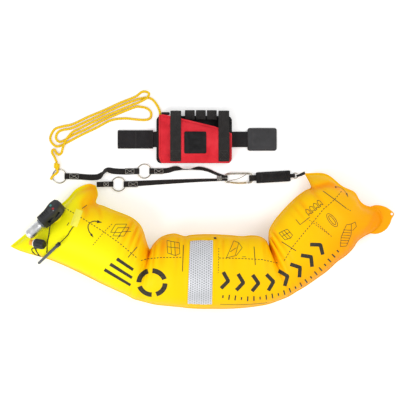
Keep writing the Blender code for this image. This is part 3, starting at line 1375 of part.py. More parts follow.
def make_pouch():
    """The pouch: back panel, red bag, closure straps, back loops, label, collar and side mesh."""
    _, panel_low = belt_levels()
    lift = panel_low + PANEL_THICKNESS + SEAT
    panel = plate(
        "pouch_back_panel",
        rounded_outline(PANEL_WIDTH, PANEL_HEIGHT, PANEL_CORNER),
        PANEL_THICKNESS,
        finishes["black_fabric"],
    )
    panel.location = (
        POUCH_X - (PANEL_WIDTH - POUCH_WIDTH) / 2 + 2 * SEAT,
        POUCH_Y + PANEL_HEIGHT / 2,
        panel_low + PANEL_THICKNESS / 2,
    )
    levels, inner_levels = (0, 0.04, 0.12, 0.28, 0.5, 0.72, 0.9, 1), (1, 0.8, 0.5, 0.2, 0.04, 0)
    rings = [pouch_section(level, 0, 0, lift) for level in levels]
    rings += [pouch_section(level, POUCH_WALL, 2 * POUCH_WALL, lift) for level in inner_levels]
    bag = loft("pouch_body", rings, finishes["red_fabric"])
    tree = BVHTree.FromObject(bag, bpy.context.evaluated_depsgraph_get())

    def front(x, y):
        hit = tree.ray_cast(Vector((x, y, 4 * POUCH_DEPTH)), Vector((0, 0, -1)))[0]
        return hit.z if hit else None

    make_closures(front, lift)
    make_back_loops(lift)
    make_label(front)
    make_side_pieces(lift)
    return lift


def make_closures(front, lift):
    """Two webbing straps up the pouch's front, over its mouth and down behind it."""
    top = POUCH_Y + CLOSURE_TOP
    for name, share in zip(("closure_strap_left", "closure_strap_right"), CLOSURE_SHARES):
        x = POUCH_X + share * POUCH_WIDTH
        edge = POUCH_Y + float(pouch_mouth(x))
        half = CLOSURE_WIDTH / 2
        points = []
        low = POUCH_Y + 0.03 * POUCH_HIGH_SIDE
        for i in range(12):
            y = low + (edge - low - CLOSURE_THICKNESS) * i / 11
            level = max(front(x + s * half, y) or 0 for s in (-1, -0.5, 0, 0.5, 1))
            points.append((x, y, level + CLOTH_SEAT + CLOSURE_THICKNESS / 2))
        lip = points[-1][2]
        fold = (lip - lift) * 0.32
        turn = Vector((x, top - fold, lift + fold + CLOSURE_THICKNESS + CLOTH_SEAT))
        points.append((x, (edge + turn.y) / 2, (lip + turn.z + fold) / 2 + CLOSURE_THICKNESS))
        for angle in np.radians((70, 35, 0, -35, -70)):
            points.append((x, turn.y + fold * math.cos(angle), turn.z + fold * math.sin(angle)))
        last = lift + CLOTH_SEAT + CLOSURE_THICKNESS / 2
        points.append((x, turn.y - fold / 2, last))
        centres = np.array(points)
        sides = np.tile([1.0, 0, 0], (len(points), 1))
        ribbon(name, centres, sides, [CLOSURE_WIDTH] * len(points), CLOSURE_THICKNESS, finishes["webbing"])


def make_back_loops(lift):
    """Three folded webbing loops that stand up behind the pouch's mouth."""
    for number in range(LOOP_COUNT):
        x = POUCH_X + LOOPS_SHARE * POUCH_WIDTH + (number - (LOOP_COUNT - 1) / 2) * LOOP_PITCH
        low = lift - SEAT + CLOTH_SEAT + LOOP_THICKNESS / 2
        fold = LOOP_FOLD_RADIUS
        top = POUCH_Y + LOOP_TOP
        turn_y, turn_z = top - fold, low + fold
        foot = top - LOOP_TAIL
        points = [(x, foot, low + 1.9 * fold), (x, foot + LOOP_TAIL / 2, turn_z + fold * 1.05)]
        for angle in np.radians((90, 50, 10, -30, -70)):
            points.append((x, turn_y + fold * math.cos(angle), turn_z + fold * math.sin(angle)))
        points.append((x, foot + LOOP_TAIL / 2, low - fold * 0.05))
        points.append((x, foot, low))
        centres = np.array(points)
        sides = np.tile([1.0, 0, 0], (len(points), 1))
        name = f"back_loop_{number + 1}"
        ribbon(name, centres, sides, [LOOP_WIDTH] * len(points), LOOP_THICKNESS, finishes["webbing"])


def make_label(front):
    """The blank rubber label sewn to the middle of the pouch's front."""
    rows = 7
    rings = []
    for i in range(rows):
        y = LABEL_SIZE * (i / (rows - 1) - 0.5)
        near_end = LABEL_SIZE / 2 - abs(y)
        pull = LABEL_CORNER * (1 - min(1, near_end / LABEL_CORNER)) * 0.7
        half = LABEL_SIZE / 2 - pull
        lower, upper = [], []
        for j in range(9):
            x = POUCH_X + LABEL_SIDE + half * (j / 4 - 1)
            level = front(x, POUCH_Y + LABEL_UP + y) + PAD_SEAT
            lower.append((x, POUCH_Y + LABEL_UP + y, level))
            upper.append((x, POUCH_Y + LABEL_UP + y, level + LABEL_THICKNESS))
        rings.append(lower + upper[::-1])
    loft("pouch_label", rings, finishes["black_rubber"])


def make_side_pieces(lift):
    """The black collar at the mouth's high corner and the mesh gusset at its low corner."""
    left = POUCH_X - POUCH_WIDTH / 2
    edge = POUCH_Y + float(pouch_mouth(left + COLLAR_LENGTH / 2))
    place = (
        left + COLLAR_LENGTH / 2 + ROPE_DIAMETER,
        edge + COLLAR_DEPTH / 2 + PAD_SEAT + CLOTH_SEAT,
        lift + COLLAR_HEIGHT / 2 + CLOTH_SEAT,
    )
    size = (COLLAR_LENGTH, COLLAR_DEPTH, COLLAR_HEIGHT)
    collar = box("mouth_collar", size, place, finishes["black_fabric"])
    bevel(collar, COLLAR_DEPTH / 4, 2)
    right = POUCH_X + POUCH_WIDTH / 2 - MESH_THICKNESS
    inner = right - MESH_LENGTH

    def over_mouth(x):
        return POUCH_Y + float(pouch_mouth(x)) + PAD_SEAT

    head = over_mouth(inner) + MESH_RISE * 0.8
    outline = [
        (inner, over_mouth(inner)), (right, over_mouth(right)), (right, over_mouth(right) + MESH_RISE * 0.5),
        (right - MESH_LENGTH * 0.4, head), (inner, head),
    ]
    mesh = plate("side_mesh", outline, POUCH_EDGE_DEPTH * 0.5, finishes["black_mesh"])
    mesh.location.z = lift + CLOTH_SEAT + POUCH_EDGE_DEPTH * 0.25
    bevel(mesh, MESH_THICKNESS / 2, 1)


def make_belt():
    """The waist belt, its folded end, its hook pad and the keepers that hold it to the pouch."""
    belt_low, panel_low = belt_levels()
    middle = belt_low + BELT_THICKNESS / 2
    size = (BELT_LEFT + BELT_RIGHT, BELT_WIDTH, BELT_THICKNESS)
    belt = box("waist_belt", size, ((BELT_RIGHT - BELT_LEFT) / 2, BELT_Y, middle), finishes["webbing"])
    bevel(belt, BELT_THICKNESS / 4, 1)

    gap = BELT_THICKNESS / 2 + SEAT + FOLD_THICKNESS / 2
    start = -BELT_LEFT + FOLD_LENGTH - gap
    points = [(start, BELT_Y, middle + gap), (-BELT_LEFT + FOLD_LENGTH * 0.6, BELT_Y, middle + gap)]
    hub = -BELT_LEFT - SEAT
    for angle in np.radians((90, 126, 162, 198, 234, 270)):
        points.append((hub + gap * math.cos(angle), BELT_Y, middle + gap * math.sin(angle)))
    points += [(-BELT_LEFT + FOLD_LENGTH * 0.6, BELT_Y, middle - gap), (start, BELT_Y, middle - gap)]
    sides = np.tile([0, 1.0, 0], (len(points), 1))
    widths = [FOLD_WIDTH] * len(points)
    ribbon("belt_folded_end", np.array(points), sides, widths, FOLD_THICKNESS, finishes["webbing"])

    outline = rounded_outline(PAD_LENGTH, PAD_WIDTH, PAD_CORNER)
    pad = plate("hook_pad", outline, PAD_THICKNESS, finishes["pad"])
    pad.location = (BELT_RIGHT - PAD_LAP + PAD_LENGTH / 2, BELT_Y, PAD_THICKNESS / 2)
    bevel(pad, PAD_THICKNESS / 5, 2)
    pocket = box(
        "pad_pocket",
        (2 * PAD_LAP + 2 * SEAT, BELT_WIDTH + 2 * SEAT, BELT_THICKNESS + 2 * SEAT),
        (BELT_RIGHT - PAD_LAP, BELT_Y, middle),
        finishes["pad"],
    )
    cut(pad, pocket)

    for name, side in (("belt_keeper_left", -1), ("belt_keeper_right", 1)):
        keeper(name, POUCH_X + side * KEEPER_SHARE * POUCH_WIDTH, panel_low - CLOTH_SEAT)


def keeper(name, x, high):
    """A webbing band under the belt, with its two ends turned up to the back panel."""
    half, reach = KEEPER_WIDTH / 2, BELT_WIDTH / 2 + KEEPER_SIDE_GAP
    outline = []
    for side, inset, z in (
        (-1, 0, high), (-1, 0, 0), (1, 0, 0), (1, 0, high),
        (1, 1, high), (1, 1, KEEPER_THICKNESS), (-1, 1, KEEPER_THICKNESS), (-1, 1, high),
    ):
        outline.append((BELT_Y + side * (reach + (1 - inset) * KEEPER_THICKNESS), z))
    rings = [[(x + s * half, y, z) for y, z in outline] for s in (-1, 1)]
    loft(name, rings, finishes["webbing"], smooth=False)


def hank_point(along, row, lift):
    """A place in the hank, from shares of its length, its rows' pitch and the rope's diameter."""
    places, sways, looseness = zip(*HANK_SHARES)
    loose = np.interp(along, places, looseness)
    aside = (row * loose + np.interp(along, places, sways)) * HANK_PITCH
    ahead = along * HANK_LENGTH
    x = HANK_HEAD[0] + ahead * math.cos(HANK_TURN) + aside * math.sin(HANK_TURN)
    y = HANK_HEAD[1] + ahead * math.sin(HANK_TURN) - aside * math.cos(HANK_TURN)
    return (x, y, ROPE_LAY + lift * ROPE_DIAMETER)


def rope_route(knot):
    """The whole route: the lead, the hank's runs and turns, and the tail straight down to the knot."""
    route = list(ROPE_LEAD)
    for (first, last, row), turn in zip(RUN_SHARES, TURN_SHARES):
        count = max(3, round(abs(last - first) * 7))
        route += [hank_point(along, row, 0) for along in np.linspace(first, last, count)]
        route += [hank_point(*shares) for shares in turn]
    top = knot + Vector((0, KNOT_LENGTH / 2 + SEAT, 0))
    return [*route, *ROPE_TAIL, tuple(top)]


def make_rope(knot):
    """The tow rope as one unbroken tube, with its least gap to itself measured and printed."""
    route = rope_route(knot)
    path = even_path(route, ROPE_STEPS)
    path[-2, [0, 2]] = path[-1, [0, 2]]
    fine = even_path(path, ROPE_STEPS * 6)
    run = np.concatenate([[0], np.cumsum(np.linalg.norm(np.diff(fine, axis=0), axis=1))])
    apart = np.linalg.norm(fine[:, None] - fine[None], axis=2)
    apart[np.abs(run[:, None] - run[None]) < math.pi * ROPE_DIAMETER] = run[-1]
    gap = apart.min() - ROPE_DIAMETER
    print(f"rope length {run[-1]:.3f} m, least gap to itself {gap:.5f} m")
    if gap < ROPE_LEAST_GAP:
        here, there = np.unravel_index(apart.argmin(), apart.shape)
        print("too close at", fine[here].round(4), "and", fine[there].round(4))
    cord("tow_rope", path, ROPE_DIAMETER, finishes["rope"], 1)


def make_knot(ring):
    """The knot that ties the rope to the leash's end ring: a swollen turned body beside the ring."""
    half, size = KNOT_LENGTH / 2, KNOT_WIDTH / 2
    profile = [
        (0, half), (size * 0.45, half * 0.96), (size * 0.9, half * 0.55), (size * 0.82, half * 0.1),
        (size, -half * 0.35), (size * 0.6, -half * 0.9), (0, -half),
    ]
    knot = turned("rope_knot", profile, finishes["rope"], 16)
    knot.rotation_euler.x = -math.pi / 2
    edge = math.sqrt((RING_DIAMETER / 2) ** 2 - KNOT_SIDE**2)
    knot.location = (ring.x + KNOT_SIDE, ring.y + edge + half, size + SEAT)
    return knot.location


for leftover in list(bpy.data.objects):
    bpy.data.objects.remove(leftover, do_unlink=True)
parts = bpy.data.collections.new("open_water_swim_buoy")
cutters = bpy.data.collections.new("cutters")
for collection in (parts, cutters):
    bpy.context.scene.collection.children.link(collection)
finishes = {
    "skin": finish_of("coated_skin", (0.95, 0.72, 0.02), 0.38),
    "pale_skin": finish_of("pale_skin", (0.86, 0.90, 0.16), 0.45),
    "orange_skin": finish_of("orange_skin", (0.90, 0.42, 0.02), 0.40),
    "silver_patch": finish_of("silver_patch", (0.62, 0.64, 0.68), 0.35, 0.3),
    "dark_plastic": finish_of("dark_plastic", (0.05, 0.05, 0.06), 0.42),
    "black_plastic": finish_of("black_plastic", (0.015, 0.015, 0.016), 0.40),
    "grey_plastic": finish_of("grey_plastic", (0.10, 0.11, 0.13), 0.40),
    "white_plastic": finish_of("white_plastic", (0.80, 0.82, 0.82), 0.35),
    "green_window": finish_of("green_window", (0.10, 0.45, 0.42), 0.20),
    "red_window": finish_of("red_window", (0.60, 0.02, 0.03), 0.25),
    "black_rubber": finish_of("black_rubber", (0.02, 0.018, 0.018), 0.60),
    "black_cord": finish_of("black_cord", (0.02, 0.02, 0.02), 0.80),
    "black_fabric": finish_of("black_fabric", (0.018, 0.018, 0.020), 0.85),
    "black_mesh": finish_of("black_mesh", (0.02, 0.02, 0.02), 0.90),
    "webbing": finish_of("webbing", (0.015, 0.015, 0.017), 0.80),
    "pad": finish_of("hook_pad", (0.025, 0.025, 0.03), 0.35),
    "red_fabric": finish_of("red_fabric", (0.75, 0.02, 0.03), 0.70),
    "steel": finish_of("steel", (0.62, 0.60, 0.56), 0.22, 1.0),
    "brass": finish_of("brass", (0.70, 0.52, 0.25), 0.28, 1.0),
    "rope": finish_of("rope", (0.92, 0.66, 0.03), 0.75),
}
skin = skin_tree(make_bladder())
make_patch()
make_skin_trim()
inflator_frame, lever_height = make_inflator()
make_valve()
make_pull_bar(inflator_frame, lever_height)
end_ring = make_leash()
make_pouch()
make_belt()
make_rope(make_knot(end_ring))
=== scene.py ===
import math
from collections import namedtuple

import bmesh
import bpy
import numpy as np
from mathutils import Matrix, Vector
from mathutils.bvhtree import BVHTree


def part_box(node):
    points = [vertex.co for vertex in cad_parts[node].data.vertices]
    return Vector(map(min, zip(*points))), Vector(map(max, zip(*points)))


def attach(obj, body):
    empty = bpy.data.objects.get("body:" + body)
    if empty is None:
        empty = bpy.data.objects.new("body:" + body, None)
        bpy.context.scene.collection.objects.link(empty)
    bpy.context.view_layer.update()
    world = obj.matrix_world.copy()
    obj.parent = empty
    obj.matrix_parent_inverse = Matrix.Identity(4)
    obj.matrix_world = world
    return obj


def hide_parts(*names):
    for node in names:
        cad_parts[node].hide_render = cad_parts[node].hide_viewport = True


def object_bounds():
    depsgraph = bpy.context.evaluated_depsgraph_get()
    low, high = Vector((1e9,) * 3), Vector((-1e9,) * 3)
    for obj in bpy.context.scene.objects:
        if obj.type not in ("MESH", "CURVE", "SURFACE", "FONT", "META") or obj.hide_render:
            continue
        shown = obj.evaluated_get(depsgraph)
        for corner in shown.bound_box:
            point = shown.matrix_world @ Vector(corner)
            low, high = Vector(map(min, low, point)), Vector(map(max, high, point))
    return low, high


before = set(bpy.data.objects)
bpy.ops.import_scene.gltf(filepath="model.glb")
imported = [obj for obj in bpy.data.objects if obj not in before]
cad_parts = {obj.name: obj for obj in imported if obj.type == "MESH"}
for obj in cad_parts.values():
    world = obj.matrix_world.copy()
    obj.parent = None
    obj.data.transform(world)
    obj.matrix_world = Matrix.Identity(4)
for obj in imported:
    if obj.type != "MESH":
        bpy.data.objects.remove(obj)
cad_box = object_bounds()

# The camera looks straight down on the laid-out buoy from three metres, as a catalogue picture is
# taken: 2.4 mm of the bladder's seam plane to each of the picture's 400 columns.
PICTURE_WIDTH = 400 * 0.0024
SEAM_PLANE = 0.065
CAMERA_HEIGHT = 3.0
PICTURE_CENTRE_Y = 0.168
lens = bpy.data.cameras.new("catalogue_camera")
lens.sensor_width = 36
lens.lens = lens.sensor_width * (CAMERA_HEIGHT - SEAM_PLANE) / PICTURE_WIDTH
camera = bpy.data.objects.new("catalogue_camera", lens)
camera.location = (0, PICTURE_CENTRE_Y, CAMERA_HEIGHT)
bpy.context.scene.collection.objects.link(camera)
bpy.context.scene.camera = camera

# The tow rope is 6 mm braided floating line, bright yellow with darker tracer yarns. It leaves the
# pouch's mouth, lies in a hank of five runs and is tied to the leash's end ring.
ROPE_DIAMETER = 0.0060
ROPE_LAY = 0.0032
HANK_HEAD = (-0.1325, 0.4133)
HANK_TURN = math.radians(203.4)
HANK_LENGTH = 0.235
HANK_PITCH = 0.0071
HANK_BENDS = (
    (-0.1, 0.20, 1.1), (0.05, 0.25, 1.1), (0.17, 0.27, 1.1), (0.28, 0.50, 1.05), (0.40, 0.30, 1),
    (0.50, 0.48, 1.08), (0.61, 0.20, 1.18), (0.73, 0, 1.12), (0.85, 0, 1.2), (0.95, 0.1, 1.45),
    (1.1, 0.1, 1.45),
)
ROPE_LEAD = (
    (-0.0970, 0.3745, 0.0040), (-0.0995, 0.3880, 0.0036), (-0.1070, 0.4030, 0.0032),
    (-0.1175, 0.4150, 0.0032), (-0.1300, 0.4185, 0.0032), (-0.1430, 0.4170, 0.0032),
)
ROPE_TAIL = (
    (-0.3372, 0.2895, 0.0085), (-0.3395, 0.2830, 0.0040), (-0.3450, 0.2790, 0.0032),
    (-0.3515, 0.2830, 0.0032), (-0.3560, 0.2905, 0.0032), (-0.3612, 0.2905, 0.0032),
    (-0.3625, 0.2840, 0.0034), (-0.3565, 0.2740, 0.0055), (-0.3504, 0.2596, 0.0078),
)
HANK_RUNS = ((0.09, 0.82, 1), (0.86, 0.13, -1), (0.42, 0.93, -2), (0.80, 0.09, 2), (0.17, 0.75, 0))
HANK_TURNS = (
    ((0.92, 1.30, 0), (0.98, 1.10, 0), (1.018, 0.16, 0), (1.005, -1.0, 0), (0.945, -1.2, 0)),
    (
        (0.085, -1.5, 0), (0.028, -2.7, 0), (0.004, -4.4, 0), (0.03, -5.9, 0), (0.08, -6.0, 0),
        (0.167, -4.8, 0), (0.28, -3.3, 0),
    ),
    (
        (1.03, -1.95, 0), (1.07, -1.1, 0), (1.08, 0.2, 0), (1.055, 1.2, 0), (0.99, 2.15, 0),
        (0.90, 2.2, 0),
    ),
    (
        (0.01, 2.55, 0.1), (-0.035, 2.1, 0.6), (-0.055, 1.1, 1.15), (-0.02, 0.2, 1.2),
        (0.05, -0.1, 1.05), (0.11, -0.05, 0.3),
    ),
    ((0.84, -0.25, 0.95), (0.92, -1.25, 1.15), (0.965, -2.05, 1.15)),
)
ROPE_LENGTH = 1.473
ROPE_ROWS, ROPE_SIDES = 900, 20
STRANDS, STRAND_RATE = 8, 900


def through_rows(table, steps):
    """Rows spaced finely along a Catmull-Rom curve through each column of a table."""
    ends = np.vstack([2 * table[0] - table[1], table, 2 * table[-1] - table[-2]])
    t = np.linspace(0, 1, steps, endpoint=False)[None, :, None]
    a, b, c, d = (ends[k:len(table) - 1 + k, None] for k in range(4))
    bend = 2 * a - 5 * b + 4 * c - d
    skew = 3 * b - a - 3 * c + d
    fine = ((2 * b + (c - a) * t + bend * t**2 + skew * t**3) / 2).reshape(-1, table.shape[1])
    return np.vstack([fine, table[-1:]])


def run_along(points):
    """How far along a line each of its points lies."""
    return np.concatenate([[0], np.cumsum(np.linalg.norm(np.diff(points, axis=0), axis=1))])


def even_path(points, count):
    """Points evenly spaced along a Catmull-Rom curve through the given points."""
    fine = through_rows(np.asarray([tuple(p) for p in points], float), 24)
    run = run_along(fine)
    return np.stack([np.interp(np.linspace(0, run[-1], count), run, axis) for axis in fine.T], axis=1)


def hank_point(along, row, lift):
    """A place in the hank, from shares of its length, its rows' pitch and the rope's diameter."""
    places, sways, looseness = zip(*HANK_BENDS)
    loose = np.interp(along, places, looseness)
    aside = (row * loose + np.interp(along, places, sways)) * HANK_PITCH
    ahead = along * HANK_LENGTH
    x = HANK_HEAD[0] + ahead * math.cos(HANK_TURN) + aside * math.sin(HANK_TURN)
    y = HANK_HEAD[1] + ahead * math.sin(HANK_TURN) - aside * math.cos(HANK_TURN)
    return (x, y, ROPE_LAY + lift * ROPE_DIAMETER)


def unit(vectors):
    """Vectors of length one."""
    return vectors / np.linalg.norm(vectors, axis=-1, keepdims=True)


def tube_grid(path, radius, sides):
    """Rings round a path: a circle carried along it square to its heading, without twist.

    radius is a number or one for each ring and side. The first side points up, or along X where the
    path climbs.
    """
    path = np.asarray(path, float)
    ahead = unit(np.gradient(path, axis=0))
    side = np.cross(ahead, [0, 0, 1.0])
    weak = np.linalg.norm(side, axis=1) < 0.15
    side[weak] = np.cross(ahead[weak], [1.0, 0, 0])
    side = unit(side)
    for k in range(1, len(side)):
        side[k] = side[k] if side[k] @ side[k - 1] > 0 else -side[k]
    lift = np.cross(side, ahead)
    angle = np.linspace(0, 2 * np.pi, sides, endpoint=False)[None, :, None]
    reach = np.broadcast_to(np.asarray(radius, float), (len(path), sides))[..., None]
    return path[:, None] + (side[:, None] * np.cos(angle) + lift[:, None] * np.sin(angle)) * reach


class Finish:
    """A Principled material in the making, and the nodes for its pattern.

    Its patterns read the place in object space, or with run=True the piece's own UV map, which holds
    the run along it and round it in metres.
    """

    def __init__(
        self, name, roughness, gloss=0.18, metallic=0, sheen=0, sheen_roughness=0.5, run=False,
    ):
        self.material = bpy.data.materials.new(name)
        self.material.use_nodes = True
        self.tree = self.material.node_tree
        self.shader = self.tree.nodes["Principled BSDF"]
        self.roughness = roughness
        for socket, value in (
            ("Roughness", roughness), ("Metallic", metallic), ("Specular IOR Level", gloss),
            ("Sheen Weight", sheen), ("Sheen Roughness", sheen_roughness),
        ):
            self.shader.inputs[socket].default_value = value
        if run:
            self.where = self.add("ShaderNodeUVMap", uv_map="run").outputs["UV"]
        else:
            self.where = self.add("ShaderNodeTexCoord").outputs["Object"]

    def add(self, kind, links=(), **settings):
        """A new node, with its properties and inputs set and what comes in linked."""
        made = self.tree.nodes.new(kind)
        for key, value in settings.items():
            if hasattr(made, key):
                setattr(made, key, value)
            else:
                made.inputs[key].default_value = value
        for socket, source in dict(links).items():
            self.tree.links.new(source, made.inputs[socket])
        return made

    def maths(self, operation, *values):
        """The result of a Math node on numbers and sockets."""
        made = self.add("ShaderNodeMath", operation=operation)
        for socket, value in zip(made.inputs, values):
            if isinstance(value, bpy.types.NodeSocket):
                self.tree.links.new(value, socket)
            else:
                socket.default_value = value
        return made.outputs[0]

    def texture(self, kind, output="Fac", **settings):
        """A texture read at the finish's places."""
        return self.add(f"ShaderNodeTex{kind}", {"Vector": self.where}, **settings).outputs[output]

    def noise(self, scale, detail, **settings):
        """Clouds of a given scale and detail."""
        return self.texture("Noise", Scale=scale, Detail=detail, **settings)

    def wave(self, x_rate, y_rate, operation="SINE"):
        """The sine or cosine of x_rate times the place's X plus y_rate times its Y."""
        places = self.add("ShaderNodeSeparateXYZ", {"Vector": self.where}).outputs
        terms = [self.maths("MULTIPLY", at, rate) for at, rate in zip(places, (x_rate, y_rate)) if rate]
        return self.maths(operation, terms[0] if len(terms) == 1 else self.maths("ADD", *terms))

    def woven(self, first, second):
        """Threads that cross: the product of two waves, each given by its rates."""
        return self.maths("MULTIPLY", self.wave(*first), self.wave(*second))

    def ramp(self, factor, *stops):
        """A colour ramp through (place, colour) stops."""
        made = self.add("ShaderNodeValToRGB", {"Fac": factor})
        band = made.color_ramp
        while len(band.elements) < len(stops):
            band.elements.new(0.5)
        for element, (place, colour) in zip(band.elements, stops):
            element.position = place
            element.color = (*colour, 1)
        return made.outputs["Color"]

    def colour(self, factor, *stops):
        """The base colour from a ramp."""
        self.tree.links.new(self.ramp(factor, *stops), self.shader.inputs["Base Color"])

    def overlay(self, factor, under, over):
        """The base colour from a socket, with a plain colour laid over it by a factor."""
        mixed = self.add("ShaderNodeMix", {"Factor": factor, "A": under}, data_type="RGBA")
        mixed.inputs["B"].default_value = (*over, 1)
        self.tree.links.new(mixed.outputs["Result"], self.shader.inputs["Base Color"])

    def dull(self, drift):
        """Lets the roughness drift about its own value by a quarter of a pattern."""
        rough = self.maths("MULTIPLY_ADD", drift, 0.25, self.roughness - 0.12)
        self.tree.links.new(rough, self.shader.inputs["Roughness"])

    def bump(self, height, distance, strength):
        """Feeds a height to the shader's normal."""
        made = self.add("ShaderNodeBump", {"Height": height}, Distance=distance, Strength=strength)
        self.tree.links.new(made.outputs["Normal"], self.shader.inputs["Normal"])


def surface(name, grids, finish, slot, stands_for=None, body="buoy", ends="capped"):
    """A piece over one grid of points or several, their rows along it and their columns round it.

    The columns close on themselves. The end rows are capped, joined to each other or left open. The
    UV map holds the run along the rows and round the columns, in metres. The piece rides on its
    body and may stand for a CAD node. Its slot is not used.
    """
    several = isinstance(grids, list) and np.ndim(grids[0]) == 3
    points, faces, layout, start = [], [], [], 0
    for grid in (grids if several else [grids]):
        grid = np.asarray(grid, float)
        n, m = grid.shape[:2]
        i, j = np.indices((n if ends == "joined" else n - 1, m)).reshape(2, -1)
        i2, j2 = (i + 1) % n, (j + 1) % m
        faces += (start + np.stack([i * m + j, i * m + j2, i2 * m + j2, i2 * m + j], axis=1)).tolist()
        laps = np.concatenate([grid, grid[:1]]), np.concatenate([grid, grid[:, :1]], axis=1)
        run, girth = (
            np.concatenate([[0], np.cumsum(np.linalg.norm(np.diff(lap, axis=k), axis=2).mean(axis=1 - k))])
            for k, lap in enumerate(laps)
        )
        near, far, low, high = run[i], run[i + 1], girth[j], girth[j + 1]
        layout.append(np.stack([near, low, near, high, far, high, far, low], axis=1).ravel())
        if ends == "capped":
            last = start + (n - 1) * m
            faces += [list(range(start, start + m))[::-1], list(range(last, last + m))]
            layout.append(np.zeros(4 * m))
        points.append(grid.reshape(-1, 3))
        start += n * m
    mesh = bpy.data.meshes.new(name)
    mesh.from_pydata(np.concatenate(points).tolist(), [], faces)
    mesh.uv_layers.new(name="run").data.foreach_set("uv", np.concatenate(layout))
    work = bmesh.new()
    work.from_mesh(mesh)
    bmesh.ops.recalc_face_normals(work, faces=work.faces)
    work.to_mesh(mesh)
    work.free()
    mesh.shade_smooth()
    return fixed(name, mesh, finish, stands_for, body)


def fixed(name, mesh, finish, stands_for, body):
    """Makes a finished mesh a piece that rides on its body and may stand for a CAD node."""
    mesh.materials.append(finish.material)
    piece = bpy.data.objects.new(name, mesh)
    bpy.context.scene.collection.objects.link(piece)
    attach(piece, body)
    if stands_for:
        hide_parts(stands_for)
    return piece


braid = Finish("braided_line", 0.62, run=True)
yarns = braid.woven((1900, 12 / ROPE_DIAMETER), (-1900, 12 / ROPE_DIAMETER))
tracers = braid.woven((640, 4 / ROPE_DIAMETER), (-640, 4 / ROPE_DIAMETER))
yellow = braid.ramp(yarns, (0, (0.97, 0.60, 0.006)), (0.6, (0.99, 0.80, 0.020)))
braid.overlay(braid.ramp(tracers, (0.50, (0, 0, 0)), (0.70, (1, 1, 1))), yellow, (0.70, 0.24, 0.010))
braid.bump(yarns, 0.0005, 0.7)
route = list(ROPE_LEAD)
for (first, last, row), turn in zip(HANK_RUNS, HANK_TURNS):
    count = max(3, round(abs(last - first) * 7))
    route += [hank_point(along, row, 0) for along in np.linspace(first, last, count)]
    route += [hank_point(*place) for place in turn]
rope_path = even_path([*route, *ROPE_TAIL], ROPE_ROWS)
lay = np.linspace(0, 1, ROPE_ROWS)[:, None] * ROPE_LENGTH * STRAND_RATE
strand = STRANDS * np.linspace(0, 2 * np.pi, ROPE_SIDES, endpoint=False)
rope_radius = ROPE_DIAMETER / 2 * (0.985 + 0.03 * np.sin(strand + lay) * np.sin(strand - lay))
rope_grid = tube_grid(rope_path, rope_radius, ROPE_SIDES)
tow_rope = surface("tow_rope_braid", rope_grid, braid, "rope", "tow_rope")

# The knot is the rope's own end: three turns round the standing part, a loop over the ring's wire
# and a short tail that points away from the leash. It is one with the rope.
KNOT_PLACE = (-0.3504, 0.2518, 0.0078)
KNOT_ROWS = 150
TURN_RADIUS, TURNS_START, TURNS_LENGTH = 0.0043, 0.0055, 0.0112
KNOT_END = (
    (-0.3480, 0.2400, 0.0090), (-0.3500, 0.2345, 0.0078), (-0.3560, 0.2300, 0.0072),
    (-0.3620, 0.2245, 0.0060), (-0.3655, 0.2180, 0.0042),
)
FRAYED_TIP = (1.02, 1.08, 1.1, 1.05, 0.9, 0.6)
angle = np.linspace(0.3 * np.pi, 6.6 * np.pi, 40)
turns = np.stack([
    KNOT_PLACE[0] + TURN_RADIUS * np.cos(angle),
    KNOT_PLACE[1] + TURNS_START - TURNS_LENGTH * (angle / angle[-1]),
    KNOT_PLACE[2] + TURN_RADIUS * np.sin(angle),
], axis=1)
knot_radius = np.full((KNOT_ROWS, ROPE_SIDES), ROPE_DIAMETER / 2)
knot_radius[-len(FRAYED_TIP):] *= np.array(FRAYED_TIP)[:, None]
knot_grid = tube_grid(even_path([*turns, *KNOT_END], KNOT_ROWS), knot_radius, ROPE_SIDES)
rope_knot = surface("rope_knot_turns", knot_grid, braid, "rope", "rope_knot")

# Two thin black cords run to the pull bar, one from the release lever and one from the small
# pocket on the skin. Both are round braided cord, tied off short.
TRIGGER_ROUTE = (
    (-0.3526, 0.1171, 0.1124), (-0.3542, 0.1054, 0.1122), (-0.3559, 0.0938, 0.1123),
    (-0.3576, 0.0821, 0.1120), (-0.3597, 0.0720, 0.1126), (-0.3612, 0.0597, 0.1087),
    (-0.3631, 0.0431, 0.1031),
)
TETHER_ROUTE = (
    (-0.3279, 0.0667, 0.1445), (-0.3251, 0.0693, 0.1465), (-0.3209, 0.0738, 0.1400),
    (-0.3143, 0.0812, 0.1309), (-0.3097, 0.0872, 0.1266), (-0.3053, 0.0950, 0.1258),
    (-0.2978, 0.1058, 0.1232),
)
black_braid = Finish("thin_black_braid", 0.7, run=True)
yarn = black_braid.texture("Wave", bands_direction="DIAGONAL", Scale=900)
black_braid.colour(yarn, (0.2, (0.006, 0.006, 0.006)), (0.9, (0.028, 0.027, 0.026)))
black_braid.bump(yarn, 0.0002, 0.6)
for node, places, diameter, length in (
    ("trigger_cord", TRIGGER_ROUTE, 0.0025, 0.0765),
    ("bar_tether", TETHER_ROUTE, 0.0020, 0.058),
):
    path = even_path(places, 40)
    thin = surface(f"{node}_braid", tube_grid(path, diameter / 2, 12), black_braid, "black_cord", node)

